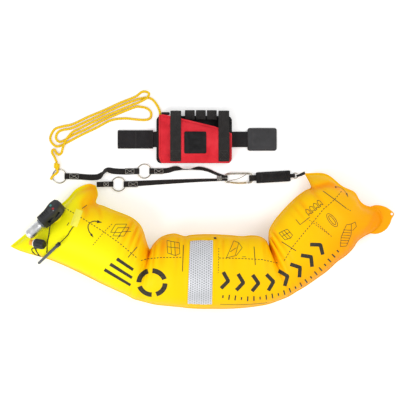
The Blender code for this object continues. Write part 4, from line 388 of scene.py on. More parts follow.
# The dust cap's tether is a soft moulded rubber loop round the valve's neck. It goes down beside the
# valve and up again to the cap, which it keeps from being lost.
CAP_TETHER_ROUTE = (
    (-0.3942, 0.0533, 0.0899), (-0.3974, 0.0536, 0.0873), (-0.4003, 0.0515, 0.0853),
    (-0.4009, 0.0482, 0.0830), (-0.4000, 0.0452, 0.0803), (-0.3982, 0.0421, 0.0782),
    (-0.3961, 0.0398, 0.0756), (-0.3942, 0.0382, 0.0723), (-0.3920, 0.0370, 0.0690),
    (-0.3897, 0.0357, 0.0658), (-0.3871, 0.0344, 0.0629), (-0.3833, 0.0333, 0.0628),
    (-0.3835, 0.0341, 0.0667), (-0.3845, 0.0351, 0.0706), (-0.3858, 0.0361, 0.0744),
    (-0.3867, 0.0378, 0.0780), (-0.3867, 0.0400, 0.0815), (-0.3874, 0.0423, 0.0849),
    (-0.3887, 0.0446, 0.0880), (-0.3900, 0.0476, 0.0906), (-0.3916, 0.0512, 0.0917),
    (-0.3905, 0.0516, 0.0955), (-0.3893, 0.0519, 0.0995), (-0.3890, 0.0525, 0.1035),
    (-0.3906, 0.0538, 0.1071), (-0.3926, 0.0553, 0.1103),
)
TETHER_DIAMETER = 0.0030


def soft_rubber(name, dark, light, roughness=0.55):
    """Moulded rubber: near black with a faint bloom and a fine orange-peel surface."""
    rubber = Finish(name, roughness)
    rubber.colour(rubber.noise(90, 6), (0.3, dark), (0.75, light))
    rubber.bump(rubber.noise(1800, 2), 0.00008, 0.5)
    return rubber


tether_rubber = soft_rubber("tether_rubber", (0.016, 0.012, 0.010), (0.045, 0.033, 0.026))
path = even_path(CAP_TETHER_ROUTE, 90)
tether_grid = tube_grid(path, TETHER_DIAMETER / 2, 14)
cap_tether = surface("cap_tether_rubber", tether_grid, tether_rubber, "black_rubber", "cap_tether")

# The bladder is two skins of coated cloth, radio-frequency welded along a narrow margin and blown up
# firm. Its colour is painted light and shade: lemon where painted light falls at the inflator's end,
# and orange as painted shade to the right, at its edges and margins, in its creases and folds and
# underneath.
BUOY_LENGTH = 0.906
HALF_THICKNESS = 0.067
SEAM_HEIGHT = 0.065
SKIN = 0.0006
MARGIN_WIDTH = 0.0026
EAR_DROOP = 0.0250
EAR_REACH = 0.45
# Each station goes across the buoy: its inner and outer seam's x and y in shares of the length, then
# its rise, its seam's height and how far its inner side is pinched in.
STATIONS = np.array((
    (-0.281, 0.225, -0.507, 0.062, 0.00, 0.62, 0.00),
    (-0.279, 0.220, -0.503, 0.060, 0.00, 0.63, 0.00),
    (-0.276, 0.213, -0.495, 0.056, 0.50, 0.66, 0.00),
    (-0.273, 0.198, -0.477, 0.049, 0.71, 0.75, 0.00),
    (-0.276, 0.178, -0.448, 0.041, 0.88, 0.88, 0.00),
    (-0.255, 0.170, -0.407, 0.030, 0.96, 0.95, 0.00),
    (-0.231, 0.160, -0.361, 0.012, 0.99, 0.98, 0.00),
    (-0.202, 0.149, -0.310, -0.012, 0.99, 1.00, 0.00),
    (-0.178, 0.138, -0.260, -0.037, 1.00, 1.00, 0.00),
    (-0.159, 0.121, -0.223, -0.054, 0.99, 1.00, 0.02),
    (-0.149, 0.101, -0.196, -0.066, 0.97, 1.00, 0.08),
    (-0.142, 0.077, -0.178, -0.076, 0.94, 1.00, 0.20),
    (-0.133, 0.056, -0.162, -0.081, 0.90, 1.00, 0.36),
    (-0.123, 0.070, -0.143, -0.086, 0.94, 1.00, 0.20),
    (-0.101, 0.089, -0.117, -0.092, 0.97, 1.00, 0.06),
    (-0.069, 0.097, -0.080, -0.096, 0.99, 1.00, 0.00),
    (-0.041, 0.090, -0.048, -0.099, 0.99, 1.00, 0.03),
    (-0.025, 0.093, -0.033, -0.101, 1.00, 1.00, 0.00),
    (0.005, 0.095, 0.000, -0.103, 1.00, 1.00, 0.00),
    (0.034, 0.095, 0.031, -0.103, 1.00, 1.00, 0.00),
    (0.074, 0.093, 0.069, -0.103, 1.00, 1.00, 0.00),
    (0.111, 0.090, 0.109, -0.101, 1.00, 1.00, 0.00),
    (0.137, 0.092, 0.146, -0.097, 0.99, 1.00, 0.03),
    (0.159, 0.089, 0.180, -0.091, 0.97, 1.00, 0.06),
    (0.176, 0.078, 0.212, -0.080, 0.94, 1.00, 0.20),
    (0.182, 0.064, 0.236, -0.070, 0.90, 1.00, 0.36),
    (0.181, 0.088, 0.255, -0.058, 0.94, 1.00, 0.20),
    (0.184, 0.109, 0.279, -0.044, 0.97, 1.00, 0.08),
    (0.198, 0.133, 0.308, -0.024, 0.99, 1.00, 0.00),
    (0.216, 0.155, 0.337, -0.003, 1.00, 1.00, 0.00),
    (0.239, 0.179, 0.363, 0.021, 1.00, 1.00, 0.00),
    (0.260, 0.198, 0.387, 0.038, 0.97, 0.99, 0.00),
    (0.279, 0.211, 0.406, 0.057, 0.95, 0.97, 0.00),
    (0.294, 0.218, 0.420, 0.077, 0.91, 0.92, 0.00),
    (0.293, 0.228, 0.441, 0.091, 0.83, 0.84, 0.00),
    (0.289, 0.239, 0.464, 0.101, 0.69, 0.74, 0.00),
    (0.285, 0.249, 0.480, 0.116, 0.46, 0.65, 0.00),
    (0.283, 0.254, 0.487, 0.130, 0.00, 0.61, 0.00),
    (0.283, 0.258, 0.490, 0.134, 0.00, 0.60, 0.00),
))
LEFT_BOW = ((0, 0), (0.05, 0.015), (0.17, 0.022), (0.32, 0.013), (0.65, 0.006), (1, 0))
RIGHT_BOW = (
    (0, 0), (0.2, 0.026), (0.42, 0.020), (0.57, 0.023), (0.67, 0.011), (0.75, 0.008), (0.9, 0.016), (1, 0),
)
BOW_FADE = (1, 1, 0.8, 0.5, 0.25, 0.1, 0)
CREASES = (
    (((0.262, 0.188), (0.285, 0.200), (0.312, 0.204), (0.340, 0.197), (0.352, 0.184)), 0.0060, 0.0075),
    (((0.430, 0.150), (0.423, 0.125), (0.408, 0.102), (0.392, 0.086)), 0.0035, 0.0080),
    (((0.368, 0.182), (0.384, 0.170), (0.393, 0.150)), 0.0025, 0.0060),
    (((-0.270, 0.176), (-0.281, 0.160), (-0.270, 0.138), (-0.283, 0.112)), 0.0040, 0.0065),
    (((-0.252, 0.158), (-0.238, 0.140), (-0.232, 0.122)), 0.0025, 0.0050),
)
ROWS_PER_STATION = 10
COLUMNS = 96
HALF_ROUND = COLUMNS + 3
UPPER = slice(1, COLUMNS + 2)
FOLD_DEPTH, FOLD_BREADTH = 0.0062, 0.22
FAN_FOLDS = ((-2.3, 0.30), (-0.9, 0.45), (0.0, 1.0), (0.8, 0.50), (2.1, 0.35))
SEAM_GATHER_IN, SEAM_GATHER_OUT = 0.019, 0.010
# Painted shade along the buoy's length: low for the lemon of painted light at the left, high for the
# orange of painted shade at the right.
PAINTED_SHADE_PLACES = (-0.46, -0.30, -0.20, -0.10, 0.0, 0.2, 0.33, 0.45)
PAINTED_SHADE_LEVELS = (0.06, 0.10, 0.22, 0.42, 0.52, 0.55, 0.68, 0.76)


def bell(x, middle, breadth):
    """A smooth bump: e to the minus square of the distance from its middle in breadths."""
    return np.exp(-((x - middle) / breadth) ** 2)


def step(x, middle, breadth):
    """A smooth step from 0 to 1: one over one plus e to the minus distance past its middle in breadths."""
    return 1 / (1 + np.exp((middle - x) / breadth))


def pucker(run, phase):
    """Gathers along a weld, from 0 on a ridge to 1 in a valley: a sine whose phase wanders."""
    wave = np.sin(run * 2 * np.pi / 0.024 + 1.9 * np.sin(run * 2 * np.pi / 0.083 + phase) + phase)
    swell = 0.55 + 0.45 * np.sin(run * 2 * np.pi / 0.137 + 2.3 * phase)
    return (0.5 - 0.5 * wave) ** 2.4 * swell


def bladder_grid():
    """The bladder's skin as rows across it: an arc between the two welds above and one below.

    Each arc is half an ellipse on the chord between the seams. The gathers at the welds, the folds
    that fan out from the two notches and a slow unevenness push it in along its own normal. Also
    returned is each point's painted shade, from 0 for the lemon of painted light to 1 for the orange
    of painted shade, which its colour follows.
    """
    table = through_rows(STATIONS, ROWS_PER_STATION)
    bows = [through_rows(np.array(bow), 12).T for bow in (LEFT_BOW, RIGHT_BOW)]
    count = len(table)
    place = np.linspace(0, len(STATIONS) - 1, count)[:, None]
    inner, outer = table[:, 0:2] * BUOY_LENGTH, table[:, 2:4] * BUOY_LENGTH
    chord = outer - inner
    width = np.linalg.norm(chord, axis=1, keepdims=True)
    across = chord / width
    out = np.stack([across[:, 1], -across[:, 0]], axis=1)
    rise = np.maximum(table[:, 4:5], 0) * HALF_THICKNESS
    seam = table[:, 5:6] * SEAM_HEIGHT
    root = MARGIN_WIDTH / width
    left_fade = np.interp(place, range(7), BOW_FADE)
    right_fade = np.interp(place[-1] - place, range(7), BOW_FADE)
    run_in, run_out = run_along(inner)[:, None], run_along(outer)[:, None]
    notch = bell(place, 11.5, 4) + bell(place, 25.5, 4)
    tips = bell(place, 0, 4) + bell(place, place[-1], 4)
    gather_in = (0.0025 + 0.0055 * notch + 0.0010 * tips) * pucker(run_in, 0.4)
    gather_out = (0.0008 + 0.0008 * notch + 0.0010 * tips) * pucker(run_out, 2.1)

    def arc(angle, side):
        """The skin over or under the chord, its share across, how near its edge and how deep."""
        share = 0.5 - (0.5 - root) * np.cos(angle)
        pinch = 1 - table[:, 6:7] * (0.5 + 0.5 * np.cos(angle))
        height = rise * pinch * np.sin(angle)
        half = (0.5 - root) * width
        slope = np.sqrt((half * np.sin(angle)) ** 2 + (rise * np.cos(angle)) ** 2) + 1e-6
        from_in, from_out = (share - root) * width, (1 - root - share) * width
        depth = gather_in * (from_in / SEAM_GATHER_IN * np.exp(1 - from_in / SEAM_GATHER_IN))
        depth += gather_out * (from_out / SEAM_GATHER_OUT * np.exp(1 - from_out / SEAM_GATHER_OUT))
        for middle, lean in ((12, 1), (25, -1)):
            for fan, strength in FAN_FOLDS:
                line = place - middle - fan * angle / 2 - 0.12 * lean * np.sin(2 * angle)
                reach = bell(angle, 0, 1.2 if fan else 1.9) * (1 - bell(angle, 0, 0.12))
                depth += FOLD_DEPTH * strength * reach * bell(line, 0, FOLD_BREADTH)
        uneven = np.sin(run_in * 31 + 2 * angle) * np.sin(run_out * 17 - 3 * angle)
        depth += 0.0004 * (1 + uneven) * np.sin(angle) ** 2
        depth *= np.minimum(1, rise / 0.03)
        bowed = left_fade * np.interp(share, *bows[0]) - right_fade * np.interp(share, *bows[1])
        plan = inner[:, None] + share[..., None] * chord[:, None]
        plan += (bowed * BUOY_LENGTH)[..., None] * out[:, None]
        plan += (depth * np.cos(angle) * rise / slope)[..., None] * across[:, None]
        lift = seam + side * (SKIN + height - depth * half * np.sin(angle) / slope)
        lift -= (left_fade + right_fade) * EAR_DROOP * np.maximum(1 - share / EAR_REACH, 0) ** 1.5
        # How near a weld each point lies, for the painted shade at the edges.
        edge = np.exp(-np.minimum(from_in, from_out) / 0.010)
        return np.dstack([plan, np.maximum(lift, 0)]), share, edge, depth

    def margin(line, side, droop):
        """The free edge of the weld, one thin step past the arc's end."""
        level = seam + side * SKIN - (left_fade + right_fade) * droop
        return np.column_stack([line, np.maximum(level, 0)])[:, None]

    top, share, edge, depth = arc(np.linspace(0, np.pi, COLUMNS + 1), 1)
    under, share_under = arc(np.linspace(np.pi, 0, COLUMNS + 1), -1)[:2]
    grid = np.concatenate([
        margin(inner, 1, EAR_DROOP), top, margin(outer, 1, 0),
        margin(outer, -1, 0), under, margin(inner, -1, EAR_DROOP),
    ], axis=1)
    for row in (0, -1):
        level = (grid[row, :HALF_ROUND, 2] + grid[row, HALF_ROUND:, 2][::-1]) / 2
        grid[row, :, 2] = np.concatenate([level, level[::-1]])
    x = grid[..., 0]
    over, y = x[:, UPPER], grid[:, UPPER, 1]
    # Painted shade, from 0 for lit lemon to 1 for shaded orange: more to the right along the buoy, along
    # the left wing's inner weld, on the right wing's outer side, near the welds, in the gathers and folds,
    # and in the fold beside the left ear.
    painted_shade_level = np.interp(x, PAINTED_SHADE_PLACES, PAINTED_SHADE_LEVELS)
    left_part = step(-over, 0.06, 0.035) * step(over, -0.29, 0.03)
    painted_shade_level[:, UPPER] += 0.30 * np.maximum(1 - share / 0.6, 0) * left_part
    painted_shade_level[:, UPPER] += 0.20 * share**2 * step(over, 0.12, 0.045) + 0.12 * edge + 55 * depth
    painted_shade_level[:, UPPER] += 0.34 * bell(over, -0.262, 0.022) * np.clip((y - 0.10) / 0.06, 0, 1)
    # A band of painted shade along the left wing's outer rim, just above and below the seam.
    near_seam = np.concatenate([share, np.ones((count, 2)), share_under], axis=1)
    painted_rim_shade = np.clip((near_seam - 0.94) / 0.04, 0, 1) ** 1.5
    painted_shade_level[:, 1:-1] += 0.45 * bell(x[:, 1:-1], -0.30, 0.11) * painted_rim_shade
    # Each crease is pressed into the skin and painted with shade along it.
    for crease, deep, broad in CREASES:
        line = through_rows(np.array(crease), 12)
        apart = np.linalg.norm(grid[:, UPPER, None, :2] - line, axis=3)
        fade = np.sin(np.pi * (apart.argmin(axis=2) + 1) / (len(line) + 1)) ** 0.7
        dent = deep * fade * bell(apart.min(axis=2), 0, broad) * np.minimum(1, rise / 0.03)
        grid[:, UPPER, 2] -= dent
        painted_shade_level[:, UPPER] += 70 * dent
    # Painted shade on the welds' upper margins and over the whole underside.
    painted_shade_level[:, [0, HALF_ROUND - 1]] += 0.12
    painted_shade_level[:, HALF_ROUND:] += 0.10
    return grid, np.clip(painted_shade_level, 0, 1)


def coated_skin(name, lemon, yellow, orange):
    """Urethane-coated cloth: satin, painted lemon in light to orange in shade with a random mottle, a fine
    weave pressed through its coat.
    """
    skin = Finish(name, 0.42, gloss=0.07)
    # The point attribute read here is painted light and shade: 0 gives the lit lemon, 1 the shaded orange.
    painted_shade_factor = skin.add("ShaderNodeAttribute", attribute_name="painted_shade").outputs["Fac"]
    shade_and_mottle = skin.maths("ADD", painted_shade_factor, skin.maths("MULTIPLY_ADD", skin.noise(14, 3), 0.12, -0.06))
    skin.colour(shade_and_mottle, (0, lemon), (0.5, yellow), (1, orange))
    skin.bump(skin.noise(900, 2), 0.00012, 0.5)
    return skin


# Lemon is the skin's colour in painted light, orange its colour in painted shade.
skin_finish = coated_skin(
    "coated_skin_yellow", (0.92, 0.95, 0.006), (0.98, 0.64, 0.002), (0.97, 0.33, 0.001),
)
bladder_points, bladder_painted_shade = bladder_grid()
bladder = surface("bladder_skin", bladder_points, skin_finish, "skin", "bladder", ends="open")
# The bladder's painted shade is stored on its points for the material's ramp.
painted_shade = bladder.data.attributes.new("painted_shade", "FLOAT", "POINT")
painted_shade.data.foreach_set("value", bladder_painted_shade.ravel())
work = bmesh.new()
work.from_mesh(bladder.data)
ends = [v for v in work.verts if len(v.link_faces) < 4]
bmesh.ops.remove_doubles(work, verts=ends, dist=0.000004)
work.to_mesh(bladder.data)
work.free()

# The fold lines and pictograms are screen-printed in dark ink. Each stroke is a thin film drawn in
# plan and dropped onto the blown-up skin. Bold generic bars and chevrons fill the large print areas.
INK_FILM = 0.00030
INK_STEP, INK_COLUMN = 0.0022, 0.0030


def tree_of(piece):
    """A search tree over a piece's faces, for dropping other pieces onto them."""
    points = [v.co for v in piece.data.vertices]
    return BVHTree.FromPolygons(points, [list(p.vertices) for p in piece.data.polygons])


def drop(tree, x, y):
    """The height of the surface under a place in plan, or 0 beside it."""
    hit = tree.ray_cast(Vector((x, y, 0.5)), Vector((0, 0, -1)))[0]
    return hit.z if hit else 0.0


def stroke_grid(points, width, end_width=None):
    """A strip of ink along a plan line: columns just above the skin and as many just under it."""
    line = np.array(points, float)
    run = run_along(line)
    count = max(2, int(run[-1] / INK_STEP) + 1)
    stops = np.unique(np.concatenate([np.linspace(0, run[-1], count), run]))
    places = np.stack([np.interp(stops, run, axis) for axis in line.T], axis=1)
    ahead = unit(np.gradient(places, axis=0))
    side = np.stack([-ahead[:, 1], ahead[:, 0]], axis=1)
    wide = np.interp(stops / run[-1], (0, 1), (width, end_width or width)) / 2
    shares = np.linspace(-1, 1, 3 + 2 * int(width / INK_COLUMN))
    rows = []
    for place, out, half in zip(places, side, wide):
        high = [(x, y, drop(skin_shape, x, y)) for x, y in (place + out * half * s for s in shares)]
        film = [(x, y, z + INK_FILM) for x, y, z in high]
        rows.append(film + [(x, y, z - 2 * INK_FILM) for x, y, z in high[::-1]])
    return np.array(rows)


def dashes(points, dash=0.0042, gap=0.0034):
    """Cuts a plan line into dashes."""
    line = np.array(points, float)
    run = run_along(line)
    starts = np.arange(0, run[-1] - dash / 2, dash + gap)
    cuts = (np.linspace(start, min(start + dash, run[-1]), 3) for start in starts)
    return [np.stack([np.interp(stops, run, axis) for axis in line.T], axis=1) for stops in cuts]


def turned(u, v, turn):
    """Plan places turned by an angle in degrees."""
    t = math.radians(turn)
    return u * math.cos(t) - v * math.sin(t), u * math.sin(t) + v * math.cos(t)


def arc_line(x, y, radius, first, last, squash=1.0, turn=0.0, count=14):
    """Points round part of an ellipse in plan, its angles in degrees."""
    a = np.radians(np.linspace(first, last, count))
    u, v = turned(radius * np.cos(a), radius * squash * np.sin(a), turn)
    return list(zip(x + u, y + v))


def drawn(x, y, turn, size, lines):
    """Moves small line drawings, given in shares of their size, to their place on the plan."""
    moved = [[turned(u, v, turn) for u, v in line] for line in lines]
    return [[(x + size * u, y + size * v) for u, v in line] for line in moved]


ink = Finish("screen_ink", 0.5)
worn = ink.noise(260, 5)
ink.colour(worn, (0.25, (0.030, 0.026, 0.018)), (0.8, (0.062, 0.052, 0.030)))
ink.bump(worn, 0.00006, 0.4)
skin_shape = tree_of(bladder)

FOLD_LINES = (
    (
        (-0.3228, 0.1489), (-0.3000, 0.1372), (-0.2785, 0.1255), (-0.2590, 0.1138),
        (-0.2256, 0.0928), (-0.1878, 0.0659), (-0.1482, 0.0316),
    ),
    ((-0.1392, 0.0253), (-0.1183, 0.0295), (-0.0942, 0.0326), (-0.0423, 0.0332)),
    ((0.0447, 0.0317), (0.0940, 0.0307), (0.1458, 0.0280), (0.1840, 0.0190)),
    (
        (0.1981, 0.0253), (0.2160, 0.0565), (0.2464, 0.0941), (0.2677, 0.1187),
        (0.2894, 0.1456), (0.3199, 0.1704), (0.3407, 0.1908),
    ),
)
CROSS_FOLDS = (
    ((-0.2511, 0.0624), (-0.2256, 0.0928), (-0.2055, 0.1137)), ((0.0444, 0.0547), (0.0427, -0.0032)),
    ((0.2516, 0.1247), (0.3103, 0.0815)), ((0.2723, 0.1152), (0.3029, 0.0882)),
    ((0.3490, 0.1470), (0.3606, 0.1407)),
)
PLEAT = ((0.02, 0), (0.10, 0.10), (0.18, 0.0), (0.18, 0.22), (0.10, 0.32), (0.02, 0.22), (0.02, 0))
ACCORDION = (
    *[[(x + 0.22 * k, y) for x, y in PLEAT] for k in range(4)],
    [(-0.55, 0.24), (-0.55, -0.06), (0.02, -0.06)],
)
FOLDED_STRIP = (
    [(-0.5, -0.15), (-0.35, 0.3), (0.2, 0.42), (0.05, -0.05), (-0.5, -0.15)],
    [(-0.35, -0.3), (-0.2, 0.15), (0.35, 0.27), (0.2, -0.2), (-0.35, -0.3)],
    [(-0.1, -0.42), (0.05, 0.0), (0.5, 0.1)], [(-0.02, -0.3), (0.02, -0.1)],
)
BOXED_FOLD = (
    [(-0.4, 0.5), (-0.4, -0.3), (0.1, -0.5), (0.4, -0.4), (0.4, 0.3), (-0.4, 0.5)],
    [(-0.15, 0.42), (-0.15, -0.38)], [(0.1, 0.36), (0.1, -0.5)], [(-0.4, 0.1), (0.4, -0.05)],
)
FAN = (
    [(-0.5, -0.4), (-0.1, 0.45), (0.15, 0.35), (-0.05, -0.3), (-0.5, -0.4)],
    [(0.15, 0.35), (0.32, 0.1), (0.0, -0.3)], [(-0.3, -0.1), (0.02, 0.1)], [(0.3, -0.35), (0.5, -0.35)],
)
RIBBED_BAG = (
    [(-0.12, -0.5), (0.14, -0.42), (0.2, 0.1), (0.1, 0.5), (-0.1, 0.42), (-0.2, -0.1), (-0.12, -0.5)],
    *[[(-0.18, -0.36 + 0.11 * k), (0.16, -0.30 + 0.11 * k)] for k in range(6)],
    [(0.1, 0.5), (0.24, 0.62), (0.34, 0.45), (0.22, 0.25)],
)
THIN_LINES = (
    *drawn(-0.1862, 0.0940, -12, 0.046, FOLDED_STRIP), *drawn(-0.0628, 0.0551, 4, 0.036, BOXED_FOLD),
    *drawn(0.0850, 0.0506, 0, 0.046, FAN), *drawn(0.2560, 0.1300, 38, 0.052, ACCORDION),
    *drawn(0.3452, 0.0845, -14, 0.058, RIBBED_BAG), *drawn(0.2027, 0.0868, 40, 0.026, BOXED_FOLD),
    arc_line(0.3105, 0.1205, 0.0185, 0, 360, 0.42, 128, 30),
    arc_line(0.3105, 0.1205, 0.0130, 0, 360, 0.30, 128, 24),
    ((0.0480, -0.0795), (0.0900, -0.0810), (0.1300, -0.0795), (0.1600, -0.0770)),
    (
        (0.3261, 0.1992), (0.3340, 0.1995), (0.3404, 0.1982), (0.3455, 0.1942),
        (0.3490, 0.1897), (0.3520, 0.1820),
    ),
)
TURN_ARROW = (
    (-0.2535, 0.0847), (-0.2600, 0.0930), (-0.2633, 0.1022), (-0.2630, 0.1090),
    (-0.2590, 0.1140), (-0.2540, 0.1172), (-0.2487, 0.1183), (-0.2400, 0.1170),
)
SOLID_BARS = (
    ((-0.2805, 0.1478), (-0.2696, 0.1561)), ((-0.1690, 0.0331), (-0.1485, 0.0572)),
    ((-0.3135, 0.1079), (-0.3090, 0.1149)), ((-0.0391, 0.0614), (-0.0411, 0.0002)),
    ((0.1277, 0.0580), (0.1298, 0.0154)), ((0.1921, 0.0697), (0.2252, 0.0488)),
    ((0.2925, 0.1894), (0.3470, 0.1479)),
)
BOLD_BARS = (
    ((-0.2250, 0.0040), (-0.1640, -0.0330)), ((-0.2110, 0.0175), (-0.1600, -0.0150)),
    ((-0.1950, 0.0300), (-0.1570, 0.0040)),
)
CHEVRON_ROW = (
    (0.0500, -0.0200, 0), (0.1150, -0.0270, 0), (0.1780, -0.0225, 0), (0.2300, 0.0060, 0),
    (0.2660, 0.0420, 0), (0.2930, 0.0790, 0),
)
TICK_ROW = (
    (0.0540, -0.0600, 0), (0.1200, -0.0655, 0), (0.1850, -0.0560, 0), (0.2400, -0.0330, 0),
    (0.2900, 0.0080, 0), (0.3260, 0.0470, 0),
)
chevrons, ticks = [], []
path = even_path(CHEVRON_ROW, 9)[:, :2]
for place, ahead in list(zip(path, unit(np.gradient(path, axis=0))))[:-1]:
    middle = place + ahead * 0.006
    side = np.array([-ahead[1], ahead[0]]) * 0.0195
    tip = middle + ahead * 0.0105
    chevrons.append([middle + side - ahead * 0.004, tip, middle - side - ahead * 0.004])
path = even_path(TICK_ROW, 22)[:, :2]
for k, (place, ahead) in enumerate(zip(path, unit(np.gradient(path, axis=0)))):
    side = np.array([-ahead[1], ahead[0]]) * (0.0062 if k % 3 else 0.0036)
    ticks.append([place - side, place + side])
strokes = []
for lines, *widths in (
    (THIN_LINES, 0.0011),
    ([TURN_ARROW], 0.0021),
    (SOLID_BARS, 0.0016),
    ([cut for line in FOLD_LINES for cut in dashes(line)], 0.0016),
    ([cut for line in CROSS_FOLDS for cut in dashes(line, 0.0034, 0.0028)], 0.0013),
    ([((-0.2425, 0.1172), (-0.2310, 0.1150))], 0.0072, 0.0003),
    ([((-0.2560, 0.0880), (-0.2500, 0.0800))], 0.0062, 0.0003),
    ([((0.3514, 0.1845), (0.3537, 0.1745))], 0.0048, 0.0003),
    ([arc_line(0.3258, 0.1992, 0.0012, 0, 330)], 0.0022),
    ([arc_line(-0.1130, -0.0270, 0.0310, a, a + 70, 0.93) for a in (18, 108, 198, 288)], 0.0115),
    (BOLD_BARS, 0.0080, 0.0066),
    (chevrons, 0.0088),
    (ticks, 0.0030),
):
    strokes += [stroke_grid(line, *widths) for line in lines]
surface("printed_marks", strokes, ink, "dark_plastic")

# The reflective patch is a retro-reflective tape with a fine honeycomb under its clear face. It is
# bonded over the middle chamber and follows its crown.
PATCH_ROWS = slice(17 * ROWS_PER_STATION, 19 * ROWS_PER_STATION + 1)
PATCH_COLUMNS = slice(1 + COLUMNS // 6, 2 + COLUMNS * 5 // 6)
TAPE_LIFT, TAPE_BACK = 0.0010, 0.0002
CELL_RATE = math.tau / 0.0052
base = bladder_points[PATCH_ROWS, PATCH_COLUMNS]
out = unit(np.cross(np.gradient(base, axis=0), np.gradient(base, axis=1)))
out *= np.sign(out[..., 2:3])
over, down = np.linspace(0, 1, base.shape[0])[:, None], np.linspace(0, 1, base.shape[1])
wrinkle = 0.0006 * bell(down, 0.93, 0.05) * np.sin(over * 19) ** 2
wrinkle = wrinkle + 0.0005 * bell(down, 0.06, 0.05) * np.sin(over * 15 + 1) ** 2
high = base + out * (TAPE_LIFT + wrinkle)[..., None]
low = base + out * TAPE_BACK
tape = Finish("honeycomb_tape", 0.36, gloss=0.5, metallic=0.35, run=True)
ways = ((1, 0), (-0.5, 0.866), (-0.5, -0.866))
waves = [tape.wave(x * CELL_RATE, y * CELL_RATE, "COSINE") for x, y in ways]
cells = tape.maths("ADD", tape.maths("ADD", *waves[:2]), waves[2])
pale = tape.ramp(tape.noise(45, 3), (0.3, (0.31, 0.32, 0.335)), (0.7, (0.43, 0.44, 0.465)))
tape.overlay(tape.ramp(cells, (0, (1, 1, 1)), (0.35, (0, 0, 0))), pale, (0.72, 0.73, 0.76))
tape.bump(cells, 0.0002, 0.35)
patch_grid = np.concatenate([low[:, :1], high, low[:, ::-1]], axis=1)
surface("reflective_patch_tape", patch_grid, tape, "silver_patch", "reflective_patch")

# The tether's pocket is a welded tunnel of the same coated cloth, coloured paler than the skin. It
# stands open at its lower end, where the tether goes in.
POCKET_AT = np.array([-0.29174, 0.12553])
POCKET_TURN = math.radians(73)
POCKET_HALF_LENGTH, POCKET_HALF_WIDTH = 0.0200, 0.0090
TUNNEL_RISE, TUNNEL_SHARE = 0.0028, 0.72
POCKET_TOP, POCKET_UNDER = 0.0011, 0.0001
u, v = np.meshgrid(np.linspace(-1, 1, 41), np.linspace(-1, 1, 31), indexing="ij")
ahead = np.array([math.cos(POCKET_TURN), math.sin(POCKET_TURN)])
plan = POCKET_AT + u[..., None] * POCKET_HALF_LENGTH * ahead
plan += (v * POCKET_HALF_WIDTH * (1 - 0.06 * u**2))[..., None] * np.array([-ahead[1], ahead[0]])
skin_z = np.array([[drop(skin_shape, x, y) for x, y in row] for row in plan])
tunnel = np.clip(1 - (v / TUNNEL_SHARE) ** 2, 0, None)
crown = TUNNEL_RISE * tunnel**0.8 * np.clip(1.25 - 0.7 * (u + 1) / 2, 0, 1)
crown += 0.0003 * np.sin(9 * u + 4 * v) * tunnel
high, low = np.dstack([plan, skin_z + POCKET_TOP + crown]), np.dstack([plan, skin_z + POCKET_UNDER])
pale_skin = coated_skin("coated_skin_pale", (0.95, 0.88, 0.10), (0.96, 0.90, 0.26), (0.95, 0.70, 0.05))
pocket_grid = np.concatenate([high, low[:, ::-1]], axis=1)
surface("tether_pocket_tunnel", pocket_grid, pale_skin, "pale_skin", "tether_pocket")

# The tab at the right tip is the two skins welded flat past the chamber's end, a round flap with a
# punched eyelet for a lanyard. It follows the seam's height where it runs into the chamber.
TAB_HOLE = np.array([0.4646, 0.1341])
TAB_HOLE_RADIUS = 0.0030
TAB_LEVEL = 0.0387
TAB_CLIMB, TAB_LEVEL_FROM = 0.35, 0.4427
TAB_RIM = (
    (0.400, 0.118), (0.404, 0.145), (0.424, 0.1555), (0.445, 0.1530), (0.4600, 0.1448),
    (0.4700, 0.1345), (0.4645, 0.1225), (0.4600, 0.1100), (0.4510, 0.0970), (0.4370, 0.0885),
    (0.4200, 0.0860), (0.4050, 0.0925),
)
TAB_ROWS = (
    (0, -0.0014), (0, -0.0001), (0.06, 0.0004), (0.2, 0), (0.4, 0), (0.6, 0), (0.8, 0), (0.93, 0.0003),
    (1, -0.0003), (1, -0.0013), (0.93, -0.0016), (0.4, -0.0016), (0.06, -0.0016),
)
# The tab is coloured the orange of the painted shade at the right tip, though it lies flat and faces up.
TAB_SHADED_ORANGE = (0.96, 0.38, 0.002)


def tab_grid():
    """Rings of the tab: from the hole's edge out to its rim, and back below."""
    rim = through_rows(np.array(TAB_RIM + TAB_RIM[:3]), 40)[40:-81]
    bearing = np.arctan2(*(rim - TAB_HOLE).T[::-1])
    angle = np.linspace(-np.pi, np.pi, 160, endpoint=False)
    order = np.argsort(bearing)
    radius = np.linalg.norm(rim - TAB_HOLE, axis=1)
    far = np.interp(angle, bearing[order], radius[order], period=2 * np.pi)
    way = np.stack([np.cos(angle), np.sin(angle)], axis=1)
    rings = []
    for share, z in TAB_ROWS:
        place = TAB_HOLE + way * (TAB_HOLE_RADIUS * (1 - share) + far * share)[:, None]
        inward, low_side = np.maximum(TAB_LEVEL_FROM - place[:, 0], 0), (0.135 - place[:, 1]) / 0.03
        climb = TAB_CLIMB * inward * np.clip(low_side, 0, 1)
        rings.append(np.column_stack([place, TAB_LEVEL + z + climb]))
    return np.array(rings)


tab_skin = coated_skin("coated_skin_tab", TAB_SHADED_ORANGE, TAB_SHADED_ORANGE, TAB_SHADED_ORANGE)
surface("tip_tab_welded", tab_grid(), tab_skin, "skin", "tip_tab", ends="joined")

